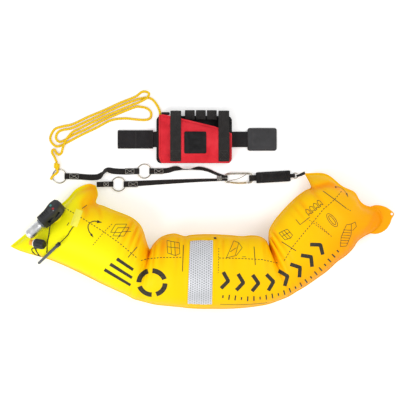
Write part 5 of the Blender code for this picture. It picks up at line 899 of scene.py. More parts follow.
# The leash is black polyester webbing sewn in loops round thin welded rings. Each tail is held by a
# stitched box with a cross in pale thread.
WEBBING = 0.0012
WEBBING_WIDTH = 0.0145
NARROW_WEBBING = 0.0058
SEAT = 0.0003
CLOTH_SEAT = 0.0005
TAIL_LENGTH = 0.030
RING_DIAMETER = 0.037
RING_WIRE = 0.003
HOOK_ROD = 0.005
D_RING_WIRE = 0.0024
D_RING_SPAN = 0.015
D_RING_DEPTH = 0.013
UP = np.array([0, 0, 1.0])
STITCH_LIFT, STITCH_INSET = 0.0002, 0.0013
SHORT_TAIL = 0.012
Wire = namedtuple("Wire", "centre heading rod sag tail")


def woven_strap(name, dark, light, rib=0.0013):
    """Flat webbing: ribs across the strap crossed by warp columns, paler on the ribs' crowns."""
    webbing = Finish(name, 0.78, sheen=0.10, sheen_roughness=0.4, run=True)
    ribs = webbing.woven((math.tau / rib, 0), (0, math.tau / (rib * 1.25)))
    webbing.colour(webbing.maths("ADD", ribs, webbing.noise(60, 5)), (0.15, dark), (1, light))
    webbing.bump(ribs, 0.0004, 0.8)
    return webbing


def thread(name, dark, light, roughness=0.75):
    """Twisted thread: short lighter and darker lengths."""
    yarn = Finish(name, roughness)
    yarn.colour(yarn.noise(1500, 2), (0.3, dark), (0.7, light))
    return yarn


black_webbing = woven_strap("black_webbing", (0.0065, 0.0058, 0.0058), (0.040, 0.036, 0.035))
pale_thread = thread("pale_thread", (0.50, 0.49, 0.46), (0.78, 0.76, 0.72))
dark_thread = thread("dark_thread", (0.045, 0.042, 0.04), (0.11, 0.10, 0.10))


def strap_grid(centres, sides, widths, thickness):
    """Rings of a flat strap with rounded selvedges: a flat loop of nine points above and nine below."""
    centres, sides = np.asarray(centres, float), np.asarray(sides, float)
    normals = unit(np.cross(sides, unit(np.gradient(centres, axis=0))))
    flat = np.linspace(-1, 1, 9)
    across = np.concatenate([flat, flat[::-1]])
    up = np.where(np.abs(across) > 0.99, 0.35, 1.0) * np.repeat([-1, 1], 9)
    half = np.asarray(widths, float)[:, None] / 2
    inset = half - 0.25 * thickness * (np.abs(across) < 0.99)
    reach = np.clip(across * half, -inset, inset)
    rise = normals[:, None] * (up * thickness / 2)[:, None]
    return centres[:, None] + sides[:, None] * reach[..., None] + rise


def wire_end(wire, away):
    """A strap's end at a wire: from below it, half way round it and back along its own upper side."""
    rise = unit(away)[2]
    heading = wire.heading * math.sqrt(1 - rise**2) + UP * rise
    up = unit(UP - heading * heading[2])
    reach = wire.rod / 2 + SEAT + WEBBING / 2
    hub = wire.centre + (heading if abs(rise) > 0.5 else wire.heading) * wire.sag
    points = [wire.centre - up * reach]
    for angle in np.radians(np.linspace(-90, 90, 15)):
        points.append(hub + heading * (reach * math.cos(angle)) + up * (reach * math.sin(angle)))
    lap = wire.centre - up * (reach - WEBBING - SEAT)
    points.append(wire.centre + up * reach - heading * (wire.rod / 2))
    points.append(lap - heading * (wire.rod + 4 * WEBBING))
    nearest = wire.rod + 5 * WEBBING
    for distance in np.linspace(nearest, max(TAIL_LENGTH * wire.tail, nearest + 2 * WEBBING), 5):
        points.append(lap - heading * distance)
    return points, lap, heading, up


def sewn_box(lap, heading, up, first, last, width):
    """Stitch lines on a strap's tail: a box with its two diagonals, a little inside its edges."""
    side = np.cross(heading, up) * width / 2
    corners = [
        lap - heading * along + side * s + up * (WEBBING / 2 + STITCH_LIFT)
        for along, s in ((first, -1), (first, 1), (last, 1), (last, -1))
    ]
    return [(corners[a], corners[b]) for a, b in ((0, 1), (1, 2), (2, 3), (3, 0), (0, 2), (1, 3))]


def stitched(name, lines, pitch, thickness, yarn, slot, body="buoy", low_lines=()):
    """Small arched lengths of thread along each line, each dipping into the cloth at its ends."""
    grids = []
    for up, rows in ((UP, lines), (-UP, low_lines)):
        for start, end in rows:
            start, end = np.array(start, float), np.array(end, float)
            count = max(1, round(np.linalg.norm(end - start) / pitch))
            for k in range(count):
                a = start + (end - start) * (k + 0.10) / count
                b = start + (end - start) * (k + 0.90) / count
                arch = ((0, -0.6), (0.12, 0.2), (0.5, 0.35), (0.88, 0.2), (1, -0.6))
                path = [a + (b - a) * along + up * thickness * lift for along, lift in arch]
                grids.append(tube_grid(path, thickness / 2, 6))
    return surface(name, grids, yarn, slot, body=body)


def sewn_strap(node, start, end, middle, widths, rows, name=None, boxed=True):
    """A strap between its ends, each round a wire or at a plain point, and its boxes of stitches.

    middle gives places on the way: the share along the straight line between the ends, the sway and
    the lift as shares of its length and of the strap's width, and the roll in degrees.
    """
    name = name or f"{node}_webbing"
    ends, wraps = (start, end), [None, None]
    tips = [np.array(e.centre if isinstance(e, Wire) else e, float) for e in ends]
    for _ in range(3):
        away = tips[1] - tips[0]
        for k, sign in enumerate((-1, 1)):
            if isinstance(ends[k], Wire):
                wraps[k] = wire_end(ends[k], sign * away)
                tips[k] = wraps[k][0][0]
    chord = tips[1] - tips[0]
    across = unit(np.cross(chord, UP))
    lay = []
    for along, sway, lift, roll in ((0, 0, 0, 0), *middle, (1, 0, 0, 0)):
        place = tips[0] + chord * along - across * sway * np.linalg.norm(chord)
        lay.append((*(place + UP * lift * max(widths)), roll, along))
    lay = np.array(lay)
    path = even_path(lay[:, :3], rows)
    stops = np.linspace(0, 1, rows)
    rolls = np.radians(np.interp(stops, lay[:, 4], lay[:, 3]))
    heads = unit(np.gradient(path, axis=0))
    level = unit(np.cross(heads, UP))
    sides = level * np.cos(rolls)[:, None] + np.cross(level, heads) * np.sin(rolls)[:, None]
    spread = np.interp(stops, (0, 1), widths)
    path[:, 2] = np.maximum(path[:, 2], WEBBING / 2 + spread / 2 * np.abs(np.sin(rolls)))
    centres, sides, spread = list(path), list(sides), list(spread)
    lines = []
    for k in (1, 0):
        if not wraps[k]:
            continue
        points, lap, heading, up = wraps[k]
        side = [np.cross(ends[k].heading, UP) * (1 if k else -1)] * len(points)
        width = [widths[k]] * len(points)
        if k:
            centres, sides, spread = centres[:-1] + points, sides[:-1] + side, spread[:-1] + width
        else:
            centres, sides, spread = points[::-1] + centres[1:], side + sides[1:], width + spread[1:]
        reach = TAIL_LENGTH * ends[k].tail
        if boxed and reach > SHORT_TAIL:
            first = ends[k].rod + 4.2 * WEBBING
            lines += sewn_box(lap, heading, up, first, reach - 0.0010, widths[k] - 2 * STITCH_INSET)
    surface(name, strap_grid(centres, sides, spread, WEBBING), black_webbing, "webbing", node)
    if lines:
        stitched(f"{name}_stitches", lines, 0.0024, 0.00060, pale_thread, "webbing")


def ring_sag(diameter, wire, width):
    """How far a ring's wire curves away over the width of a strap."""
    radius = diameter / 2 - wire
    return radius - math.sqrt(radius**2 - (width / 2) ** 2)


RING_1 = np.array([-0.19959, 0.20685, 0.0030])
RING_2 = np.array([-0.13659, 0.23865, 0.0030])
RING_3 = np.array([-0.34439, 0.22645, 0.0030])
RIGHT, LEFT = np.array([1.0, 0, 0]), np.array([-1.0, 0, 0])
HOOK_CENTRE = np.array([0.0945, 0.2215, 0.0054])
HOOK_HALF = 0.0320
HOOK_RIGHT = np.array([0.12650, 0.22155, 0.0054])
D_BAR = np.array([0.22990, 0.22775, 0.0041])
EAR_WIDTH = 0.013
wire_middle = (RING_DIAMETER - RING_WIRE) / 2
sag = ring_sag(RING_DIAMETER, RING_WIRE, WEBBING_WIDTH)
ear_sag = ring_sag(RING_DIAMETER, RING_WIRE, EAR_WIDTH)
aside = np.array([0, NARROW_WEBBING / 2 + CLOTH_SEAT, 0])
sewn_strap(
    "ear_strap_left", (-0.2522, 0.2059, 0.0153),
    Wire(RING_1 + LEFT * wire_middle, RIGHT, RING_WIRE, ear_sag, 0.7), (), (EAR_WIDTH, EAR_WIDTH), 12,
)
sewn_strap(
    "leash_strap_lower", Wire(RING_1 + RIGHT * wire_middle, LEFT, RING_WIRE, sag, 1),
    Wire(HOOK_CENTRE + LEFT * HOOK_HALF - aside, RIGHT, HOOK_ROD, HOOK_ROD / 4, 0.7),
    ((0.16, 0.002, 0, 0), (0.45, 0.004, 0, 0), (0.72, 0.004, 0, 0), (0.9, 0.001, 0, 0)),
    (WEBBING_WIDTH, NARROW_WEBBING), 90,
)
sewn_strap(
    "leash_strap_upper", Wire(RING_2 + RIGHT * wire_middle, LEFT, RING_WIRE, sag, 1),
    Wire(HOOK_CENTRE + LEFT * HOOK_HALF + aside, RIGHT, HOOK_ROD, HOOK_ROD / 4, 0.7),
    (
        (0.2, 0.022, 0, 0), (0.32, 0.060, 0.15, 0), (0.42, 0.058, 0.35, 75),
        (0.52, 0.066, 0.35, 80), (0.64, 0.086, 0.10, 10), (0.76, 0.070, 0, 0), (0.88, 0.030, 0, 0),
    ),
    (WEBBING_WIDTH, NARROW_WEBBING), 120,
)
sewn_strap(
    "leash_strap_end", Wire(RING_3 + RIGHT * wire_middle, LEFT, RING_WIRE, sag, 1),
    Wire(RING_2 + LEFT * wire_middle, RIGHT, RING_WIRE, sag, 1),
    (
        (0.20, -0.022, 0, 0), (0.33, -0.040, 0.02, 0), (0.45, -0.040, 0.2, 15),
        (0.52, 0.010, 0.40, 60), (0.58, 0.046, 0.25, 40), (0.68, 0.022, 0.02, 0), (0.85, 0.004, 0, 0),
    ),
    (WEBBING_WIDTH, WEBBING_WIDTH), 120,
)
slope = math.atan2(D_BAR[1] - HOOK_RIGHT[1], D_BAR[0] - HOOK_RIGHT[0])
run = np.array([math.cos(slope), math.sin(slope), 0])
sewn_strap(
    "sleeve_webbing", Wire(HOOK_RIGHT, -run, HOOK_ROD, HOOK_ROD / 2, 1),
    Wire(D_BAR, run, D_RING_WIRE, SEAT, 0.6), (),
    (WEBBING_WIDTH, D_RING_SPAN - 2 * D_RING_WIRE - 4 * SEAT), 40, "sleeve_inner_webbing", boxed=False,
)
nose_width = D_RING_SPAN * 0.36
nose_sag = ring_sag(D_RING_SPAN, D_RING_WIRE, nose_width) + 2 * SEAT
ear_tip = np.array([0.2562, 0.2342, 0.0145])
pull = unit((ear_tip - D_BAR) * (1, 1, 0))
sewn_strap(
    "ear_strap_right",
    Wire(D_BAR + RIGHT * (D_RING_DEPTH - D_RING_WIRE), -pull, D_RING_WIRE + 2 * SEAT, nose_sag, 0.3),
    ear_tip, (), (nose_width, 0.0078), 12,
)

# The rings, the hook and the D-ring are bent from drawn steel wire, polished and lightly brushed,
# with a warm nickel tone. The gate is a shade warmer.
WELD = 0.0003
WELD_ANGLES = (52, 56, 60, 64)
HOOK_HALF_WIDTH = 0.0115
NOSE, PIVOT = (-0.66, -0.88), (0.66, -0.95)
HOOK_SHARES = (
    NOSE, (-0.86, -0.82), (-0.985, -0.62), (-1.0, -0.35), (-1.0, 0.35), (-0.985, 0.62),
    (-0.87, 0.86), (-0.6, 0.97), (0, 1.0), (0.62, 1.0), (0.87, 0.94), (0.985, 0.74),
    (1.0, 0.45), (1.0, -0.45), (0.985, -0.72), (0.89, -0.90), PIVOT,
)
KEEPER_SHARES = ((-0.93, -0.80), (-0.5, -0.42), (0.0, -0.10), (0.42, 0.5), (0.64, 0.98))
KEEPER_RISE = HOOK_ROD / 2 + SEAT + 0.0008
KEEPER_WIRE = 0.0016
GATE_ROD, GATE_BEND = 0.0042, 0.0016


def drawn_wire(name, dark, light, roughness=0.26):
    """Bright metal with fine scratches along it and slow stains in its polish."""
    wire = Finish(name, roughness, gloss=0.5, metallic=1)
    stain = wire.noise(160, 4)
    wire.colour(stain, (0.3, dark), (0.7, light))
    wire.dull(stain)
    wire.bump(wire.noise(2600, 3), 0.00003, 0.4)
    return wire


nickel = drawn_wire("nickel_wire", (0.30, 0.275, 0.23), (0.56, 0.525, 0.46))
champagne = drawn_wire("champagne_wire", (0.42, 0.31, 0.15), (0.66, 0.52, 0.30))


def round_wire(name, outline, centre, diameter, rows, finish=None, closed=False, sides=20, **fixing):
    """A round rod through level points; a closed one joins on itself and an open one has domed ends."""
    line = np.array(outline, float)
    if closed:
        steps = max(2, rows // len(line))
        path = through_rows(np.concatenate([line[-1:], line, line[:2]]), steps)[steps:-steps - 1]
        heads = unit(np.roll(path, -1, axis=0) - np.roll(path, 1, axis=0))
        radius = np.full(len(path), diameter / 2)
    else:
        path = even_path(line, rows)
        heads = unit(np.gradient(path, axis=0))
        near_end = np.minimum(*(np.linalg.norm(path - path[k], axis=1) for k in (0, -1)))
        dome = np.clip(near_end / (diameter * 0.25), 0, 1)
        radius = diameter / 2 * (0.35 + 0.65 * np.sqrt(1 - (1 - dome) ** 2))
    angle = np.linspace(0, 2 * np.pi, sides, endpoint=False)[None, :, None]
    ring = np.cross(heads, UP)[:, None] * np.cos(angle) + UP * np.sin(angle)
    grid = path[:, None] + ring * radius[:, None, None] + centre
    return surface(name, grid, finish or nickel, ends="joined" if closed else "capped", **fixing)


def ring_points(angles):
    """Points on the middle line of a ring's wire."""
    return [(wire_middle * math.cos(a), wire_middle * math.sin(a), 0) for a in angles]


def gate_points(shares):
    """Points on the gate from its pivot to the hook's nose, bent a little outwards in a half sine."""
    bend = np.array([0, -GATE_BEND, 0])
    return [(nose_at - pivot_at) * s + bend * math.sin(math.pi * s) for s in shares]


for number, place in enumerate((RING_1, RING_2, RING_3), 1):
    node = f"leash_ring_{number}"
    steel = {"slot": "steel", "body": f"ring_{number}"}
    circle = ring_points(np.linspace(0, 2 * np.pi, 48, endpoint=False))
    round_wire(f"{node}_wire", circle, place, RING_WIRE, 192, closed=True, stands_for=node, **steel)
    seam = ring_points(np.radians(WELD_ANGLES))
    round_wire(f"{node}_weld", seam, place, RING_WIRE + WELD, 8, **steel)

hook_line = [(x * HOOK_HALF, y * HOOK_HALF_WIDTH, 0) for x, y in HOOK_SHARES]
round_wire("hook_body_rod", hook_line, HOOK_CENTRE, HOOK_ROD, 200, slot="steel", stands_for="hook_body")
pivot_at = np.array([PIVOT[0] * HOOK_HALF - 0.0009, PIVOT[1] * HOOK_HALF_WIDTH, 0])
nose_at = np.array([NOSE[0] * HOOK_HALF + CLOTH_SEAT, NOSE[1] * HOOK_HALF_WIDTH, 0])
brass = {"finish": champagne, "slot": "brass", "body": "gate"}
pivot = HOOK_CENTRE + pivot_at
gate_line = gate_points((0, 0.25, 0.5, 0.75, 1))
round_wire("hook_gate_rod", gate_line, pivot, GATE_ROD, 60, stands_for="hook_gate", **brass)
collar_line = gate_points((0.05, 0.08, 0.12, 0.16))
round_wire("hook_gate_collar", collar_line, pivot, GATE_ROD + 0.0005, 8, **brass)
keeper_line = [(x * HOOK_HALF, y * HOOK_HALF_WIDTH, KEEPER_RISE) for x, y in KEEPER_SHARES]
round_wire(
    "hook_keeper_wire", keeper_line, HOOK_CENTRE, KEEPER_WIRE, 50, sides=12, slot="steel",
    stands_for="hook_keeper",
)
half, depth = (D_RING_SPAN - D_RING_WIRE) / 2, D_RING_DEPTH - D_RING_WIRE
outline = [(0, -half * s, 0) for s in (0.7, 0.35, 0, -0.35, -0.7)] + [(0.10 * depth, half, 0)]
for a in np.radians((62, 36, 12, -12, -36, -62)):
    outline.append((depth * (0.35 + 0.65 * math.cos(a)), half * math.sin(a), 0))
outline.append((0.10 * depth, -half, 0))
round_wire(
    "d_ring_wire", outline, D_BAR, D_RING_WIRE, 130, closed=True, slot="steel", stands_for="d_ring",
)

# The sleeve over the leash is a padded neoprene tube, faced with knitted nylon. It is top-stitched
# near its left end and closed with a slanted hem at the right.
SLEEVE_LENGTH, SLEEVE_WIDTH, SLEEVE_HEIGHT = 0.084, 0.027, 0.0078
SLEEVE_HOLLOW_WIDTH, SLEEVE_HOLLOW_HEIGHT, SLEEVE_WALL = 0.0213, 0.0056, 0.0011
SEWN_SHARE = 0.155
sleeve_side = np.array([-run[1], run[0], 0])
sleeve_start = HOOK_RIGHT * [1, 1, 0] + run * (0.0060 + HOOK_ROD)


def plain_weave(name, pitch, relief, sheen, stops, roughness=0.8, cloud=(38, 6), strength=0.7):
    """Cloth seen from above: fine threads both ways in object space, a cloudy dye and a soft sheen."""
    cloth = Finish(name, roughness, sheen=sheen)
    threads = cloth.woven((math.tau / pitch, 0), (0, math.tau / pitch))
    cloth.colour(cloth.maths("MULTIPLY_ADD", threads, 0.10, cloth.noise(*cloud)), *stops)
    cloth.bump(threads, relief, strength)
    return cloth


def flat_tube(place, width, height, low):
    """A ring of a flat tube: two half circles joined by flats, standing across its run."""
    radius = height / 2
    angle = 2 * np.pi * (np.arange(40) + 0.5) / 40
    aside = (width / 2 - radius) * np.sign(np.cos(angle)) + radius * np.cos(angle)
    return place + sleeve_side * aside[:, None] + UP * (low + radius * (1 + np.sin(angle)))[:, None]


def on_sleeve(along, aside, height):
    """A place on the sleeve from its left end, its middle line and the floor."""
    return sleeve_start + run * along + sleeve_side * aside + UP * height


neoprene = plain_weave(
    "black_neoprene", 0.00099, 0.00018, 0.06,
    ((0.30, (0.0075, 0.0072, 0.0078)), (0.72, (0.024, 0.023, 0.025))),
)
outer, inner = [], []
for share in np.concatenate([[0, 0.006], np.linspace(0.02, 0.98, 60), [0.994, 1]]):
    pinch = bell(share, SEWN_SHARE, 0.012)
    tuck = 1 - 0.07 * (bell(share, 0, 0.02) + bell(share, 1, 0.02)) - 0.03 * pinch
    flat = min(1, 1 - 0.05 * pinch + 0.02 * math.sin(share * 21))
    place = sleeve_start + run * SLEEVE_LENGTH * share
    outer.append(flat_tube(place, SLEEVE_WIDTH * tuck, SLEEVE_HEIGHT * flat, 0))
    inner.append(flat_tube(place, SLEEVE_HOLLOW_WIDTH, SLEEVE_HOLLOW_HEIGHT, SLEEVE_WALL))
tube = np.array(outer + inner[::-1])
sleeve = surface("sleeve_cover_neoprene", tube, neoprene, "black_fabric", "sleeve_cover", ends="joined")
hem_start, hem_end = on_sleeve(0.0765, -0.0095, 0.0079), on_sleeve(0.0700, 0.0095, 0.0079)
lines = [
    [on_sleeve(SLEEVE_LENGTH * share, aside, SLEEVE_HEIGHT) for aside in (-0.0098, 0.0098)]
    for share in (0.15, 0.175)
]
lines.append((hem_start, hem_end))
lines += [[on_sleeve(along, aside, 0.00775) for along in (0.017, 0.069)] for aside in (-0.0091, 0.0091)]
stitched("sleeve_stitches", lines, 0.0020, 0.0005, dark_thread, "black_fabric")
way = unit(hem_end - hem_start)
hem_line = [hem_start + way * t - UP * 0.0001 for t in np.linspace(-0.0005, 0.0200, 20)]
hem_grid = strap_grid(hem_line, [np.cross(way, UP)] * 20, [0.0035] * 20, 0.0006)
surface("sleeve_slanted_hem", hem_grid, neoprene, "black_fabric")

# The pouch is a flat bag of red packcloth with a bound mouth that slants down to the right. It is
# crowned in front, seamed at the sides and wrinkled where the straps pull on it.
POUCH_X, POUCH_Y, POUCH_WIDTH = -0.0114, 0.2580, 0.1780
POUCH_HIGH, POUCH_LOW = 0.1180, 0.0720
POUCH_DEPTH, POUCH_EDGE, POUCH_WALL = 0.0400, 0.0250, 0.0024
POUCH_LIFT = 0.0042 + 0.0030 + SEAT
RING_SHARES = np.array((
    *((s, 0) for s in np.linspace(-0.94, 0.94, 24)),
    (0.985, 0.03), (1, 0.12), (1, 0.35), (1, 0.6), (0.99, 0.83), (0.965, 0.95),
    *((s, 1) for s in np.linspace(0.93, -0.93, 90)),
    (-0.965, 0.95), (-0.99, 0.83), (-1, 0.6), (-1, 0.35), (-1, 0.12), (-0.985, 0.03),
))
FRONT_RIM = slice(30, 120)
STRAP_DRAPES = ((-0.86, 0.5, 0.0017), (-0.18, -0.5, 0.0019), (0.46, 0.6, 0.0021), (0.90, -0.4, 0.0016))
CROSS_CREASES = ((0.16, 0.0015), (0.80, 0.0013))
RIPPLE_DEPTH = 0.0010
OUTER_LEVELS = (0, 0.012, 0.03, *np.linspace(0.06, 0.96, 46), 0.985, 1)
INNER_LEVELS = (1, 0.9, 0.7, 0.5, 0.3, 0.12, 0.02)
BINDING, SIDE_SEAM = 0.0030, 0.0018


def pouch_mouth(x):
    """How far up the pouch its slanting front edge is at a place across it."""
    drop = np.interp((x - POUCH_X) / POUCH_WIDTH + 0.5, (0, 0.10, 0.75, 1), (0, 0.06, 0.66, 1))
    return POUCH_HIGH + (POUCH_LOW - POUCH_HIGH) * drop


def pouch_swell(level):
    """How full the bag is at a share of its height, and how far its sides draw in at the foot."""
    return 1 - abs(2 * level - 0.9) ** 2.5 * 0.55, 1 - 0.07 * max(0, 1 - level * 6) ** 2


def pouch_ring(level, shrink, floor):
    """A ring of the bag at a share of its height: flat behind, round at the sides, crowned in front."""
    across, up = RING_SHARES.T
    swell, tuck = pouch_swell(level)
    x = POUCH_X + across * (POUCH_WIDTH / 2 - shrink) * tuck
    y = POUCH_Y + floor + level * (pouch_mouth(x) - floor)
    crown = (POUCH_DEPTH - POUCH_EDGE) * np.maximum(0, 1 - np.abs(across / 0.93) ** 2.2) * swell
    z = POUCH_LIFT + shrink + up * (POUCH_EDGE - 2 * shrink) * (0.8 + 0.2 * swell)
    z += np.where(up == 1, crown - (0 if shrink else pouch_fold(across, level)), 0)
    return np.stack([x, y, z], axis=1)


def pouch_fold(across, level):
    """How deep the front's folds are: drapes from the straps, creases across and a slack ripple."""
    rim = np.minimum(min(1, level / 0.06, (1 - level) / 0.04), (1 - np.abs(across)) / 0.12)
    depth = (1 + np.sin(9 * across + 5 * level)) * (1 + np.sin(4 * across - 11 * level + 1))
    depth *= RIPPLE_DEPTH / 2
    for place, lean, size in STRAP_DRAPES:
        line = across - place - lean * (level - 0.5) * 0.35
        depth += size * bell(line, 0, 0.045) * (0.4 + 0.6 * math.sin(math.pi * level))
    for place, size in CROSS_CREASES:
        depth += size * bell(level - 0.06 * np.sin(5 * across), place, 0.03)
    return depth * np.maximum(0, rim)


red_cloth = plain_weave(
    "red_packcloth", 0.0016, 0.0003, 0.04,
    ((0.25, (0.60, 0.013, 0.024)), (0.5, (0.74, 0.022, 0.038)), (0.75, (0.82, 0.040, 0.056))),
    roughness=0.72, cloud=(28, 7), strength=0.6,
)
bag_rings = [pouch_ring(level, 0, 0) for level in OUTER_LEVELS]
bag_rings += [pouch_ring(level, POUCH_WALL, 2 * POUCH_WALL) for level in INNER_LEVELS]
bag = surface("pouch_body_cloth", np.array(bag_rings), red_cloth, "red_fabric", "pouch_body")
bag_shape = tree_of(bag)
mouth_line = pouch_ring(1, POUCH_WALL / 2, 0)[FRONT_RIM] + [0, 0.0002, 0.0006]
surface("pouch_mouth_binding", tube_grid(mouth_line, BINDING / 2, 12), red_cloth, "red_fabric")
for side_name, s in (("left", -1), ("right", 1)):
    line = []
    for level in np.linspace(0.02, 0.985, 60):
        swell, tuck = pouch_swell(level)
        x = POUCH_X + s * 0.958 * POUCH_WIDTH / 2 * tuck
        z = POUCH_LIFT + POUCH_EDGE * (0.8 + 0.2 * swell) * 0.985 + 0.0004
        line.append((x, POUCH_Y + level * pouch_mouth(x), z))
    surface(f"pouch_seam_{side_name}", tube_grid(line, SIDE_SEAM / 2, 10), red_cloth, "red_fabric")
lines = []
for inset in (0.030, 0.046):
    xs = np.linspace(-0.90, 0.90, 70) * POUCH_WIDTH / 2 + POUCH_X
    ys = POUCH_Y + pouch_mouth(xs) * (1 - inset)
    row = [(x, y, drop(bag_shape, x, y) + 0.00015) for x, y in zip(xs, ys)]
    lines += zip(row[:-1], row[1:])
red_thread = thread("red_thread", (0.45, 0.012, 0.022), (0.62, 0.03, 0.045), 0.7)
stitched("pouch_mouth_stitches", lines, 0.0026, 0.0005, red_thread, "red_fabric")

# The back panel, the label, the collar and the mesh gusset are cut flat and sewn on: black ballistic
# cloth over foam, a moulded rubber patch, and an open knitted mesh.
PANEL_WIDTH, PANEL_LENGTH, PANEL_AT = 0.1850, 0.1160, POUCH_Y + 0.058
PANEL_LOW, PANEL_HIGH, PANEL_HEM = 0.0042, 0.0072, 0.0060
LABEL_SIZE, LABEL_AT, LABEL_TOP = 0.0535, POUCH_Y + 0.049, 0.0018
COLLAR_HALF_WIDTH, COLLAR_HALF_HEIGHT, COLLAR_LENGTH = 0.01025, 0.0100, 0.006
COLLAR_HOLE, COLLAR_ROUNDNESS = 0.62, 0.55
MESH_EDGE, MESH_HEIGHT = 0.0008, 0.0125


def rounded_outline(cx, cy, width, height, corner):
    """Points round a rectangle with round corners, anticlockwise."""
    points = []
    for sx, sy, start in ((1, 1, 0), (-1, 1, 90), (-1, -1, 180), (1, -1, 270)):
        centre = (cx + sx * (width / 2 - corner), cy + sy * (height / 2 - corner))
        for a in np.radians(np.linspace(start, start + 90, 10)):
            points.append((centre[0] + corner * math.cos(a), centre[1] + corner * math.sin(a)))
    full = []
    for a, b in zip(points, points[1:] + points[:1]):
        full += filled(a, b, max(1, int(math.dist(a, b) / 0.004)))
    return np.array(full)


def filled(a, b, steps):
    """Plan places from a towards b in even steps, without b."""
    return [(a[0] + (b[0] - a[0]) * k / steps, a[1] + (b[1] - a[1]) * k / steps) for k in range(steps)]


def hemmed(outline, height):
    """Stitch lines round an outline at one height."""
    return [((*a, height), (*b, height)) for a, b in zip(outline, np.roll(outline, -1, axis=0))]


def slab(
    name, outline, low, high, edge, finish, slot, stands_for=None, body="buoy", dome=0.0, lift=None,
):
    """A flat sewn piece: rings from under its middle, round its soft rim and in again over the top.

    lift gives the height of what it lies on at a place in plan.
    """
    outline = np.asarray(outline, float)
    middle = outline.mean(axis=0)
    away = outline - middle
    inward = unit(away)
    rings = []

    def ring(share, inset, z, bulge=0.0):
        plan = middle + (away - inward * inset) * share
        rise = np.array([lift(x, y) if lift else 0.0 for x, y in plan])
        rings.append(np.column_stack([plan, rise + z + bulge * (1 - share**2)]))

    for share in (0.03, 0.25, 0.5, 0.7, 0.85, 0.94):
        ring(share, edge, low)
    for angle in np.radians(np.linspace(-90, 90, 9)):
        z = low + edge * (1 + math.sin(angle)) if angle < 0 else high - edge * (1 - math.sin(angle))
        ring(1, edge * (1 - math.cos(angle)), z)
    for share in (0.97, 0.94, 0.88, 0.8, 0.7, 0.6, 0.5, 0.38, 0.25, 0.12, 0.03):
        ring(share, edge, high, dome)
    return surface(name, rings, finish, slot, stands_for, body)


def on_bag(x, y):
    """The bag's front surface at a place in plan."""
    return drop(bag_shape, x, y)


ballistic = plain_weave(
    "black_ballistic", 0.00176, 0.00032, 0.08,
    ((0.30, (0.007, 0.007, 0.008)), (0.72, (0.022, 0.021, 0.023))),
)
panel_x = POUCH_X - (PANEL_WIDTH - POUCH_WIDTH) / 2 + 2 * SEAT
panel = slab(
    "pouch_back_panel_cloth", rounded_outline(panel_x, PANEL_AT, PANEL_WIDTH, PANEL_LENGTH, 0.012),
    PANEL_LOW, PANEL_HIGH, 0.0013, ballistic, "black_fabric", "pouch_back_panel",
)
border = rounded_outline(panel_x, PANEL_AT, PANEL_WIDTH - PANEL_HEM, PANEL_LENGTH - PANEL_HEM, 0.0095)
above, below = hemmed(border, PANEL_HIGH + 0.0001), hemmed(border, PANEL_LOW - 0.0001)
stitched("back_panel_stitches", above, 0.0040, 0.0006, dark_thread, "black_fabric", low_lines=below)

label_rubber = soft_rubber("label_rubber", (0.0045, 0.0045, 0.0050), (0.014, 0.014, 0.015), 0.5)
slab(
    "pouch_label_patch", rounded_outline(POUCH_X, LABEL_AT, LABEL_SIZE, LABEL_SIZE, 0.004),
    0.0006, LABEL_TOP, 0.0005, label_rubber, "black_rubber", "pouch_label", lift=on_bag,
)
for name, wide, high, thickness in (
    ("label_rib_47", 0.0470, 0.0470, 0.0006), ("label_rib_30", 0.0300, 0.0150, 0.0009),
):
    outline = rounded_outline(POUCH_X, LABEL_AT, wide, high, 0.003)
    path = [(x, y, on_bag(x, y) + LABEL_TOP) for x, y in outline]
    surface(name, tube_grid(path + path[:1], thickness / 2, 8), label_rubber, "black_rubber")

left = POUCH_X - POUCH_WIDTH / 2
collar_x = left + COLLAR_HALF_WIDTH + 0.006
collar_y = POUCH_Y + pouch_mouth(left + COLLAR_HALF_WIDTH) + 0.0013
collar_z = POUCH_LIFT + COLLAR_HALF_HEIGHT + CLOTH_SEAT
angle = 2 * math.pi * np.arange(36) / 36
round_x, round_z = (
    np.sign(part) * np.abs(part) ** COLLAR_ROUNDNESS * half
    for part, half in ((np.cos(angle), COLLAR_HALF_WIDTH), (np.sin(angle), COLLAR_HALF_HEIGHT))
)
outside = [(t, 0.93 + 0.07 * math.sin(math.pi * t)) for t in np.linspace(0, 1, 25)]
inside = [(t, swell * COLLAR_HOLE) for t, swell in outside[:7:-2]]
collar_grid = []
for t, swell in outside + inside:
    y = np.full(36, collar_y + COLLAR_LENGTH * t)
    collar_grid.append(np.column_stack([collar_x + round_x * swell, y, collar_z + round_z * swell]))
collar_grid = np.array(collar_grid)
collar = surface("mouth_collar_cloth", collar_grid, ballistic, "black_fabric", "mouth_collar")

mesh_knit = Finish("knitted_mesh", 0.85)
cell = mesh_knit.texture("Voronoi", "Distance", Scale=620)
mesh_knit.colour(cell, (0.25, (0.002, 0.002, 0.002)), (0.5, (0.030, 0.029, 0.030)))
mesh_knit.bump(cell, 0.0006, 0.9)
right = POUCH_X + POUCH_WIDTH / 2 - 0.002
inner_x = right - 0.023
inner_y, foot = (POUCH_Y + pouch_mouth(x) + MESH_EDGE for x in (inner_x, right))
head = inner_y + 0.024
corners = [
    (inner_x, inner_y), (right, foot), (right, foot + 0.015), (right - 0.0092, head), (inner_x, head),
]
walk = [place for a, b in zip(corners, corners[1:] + corners[:1]) for place in filled(a, b, 10)]
mesh_low = POUCH_LIFT + CLOTH_SEAT
gusset = slab(
    "side_mesh_knit", walk, mesh_low, mesh_low + MESH_HEIGHT, 0.0018, mesh_knit, "black_mesh",
    "side_mesh",
)

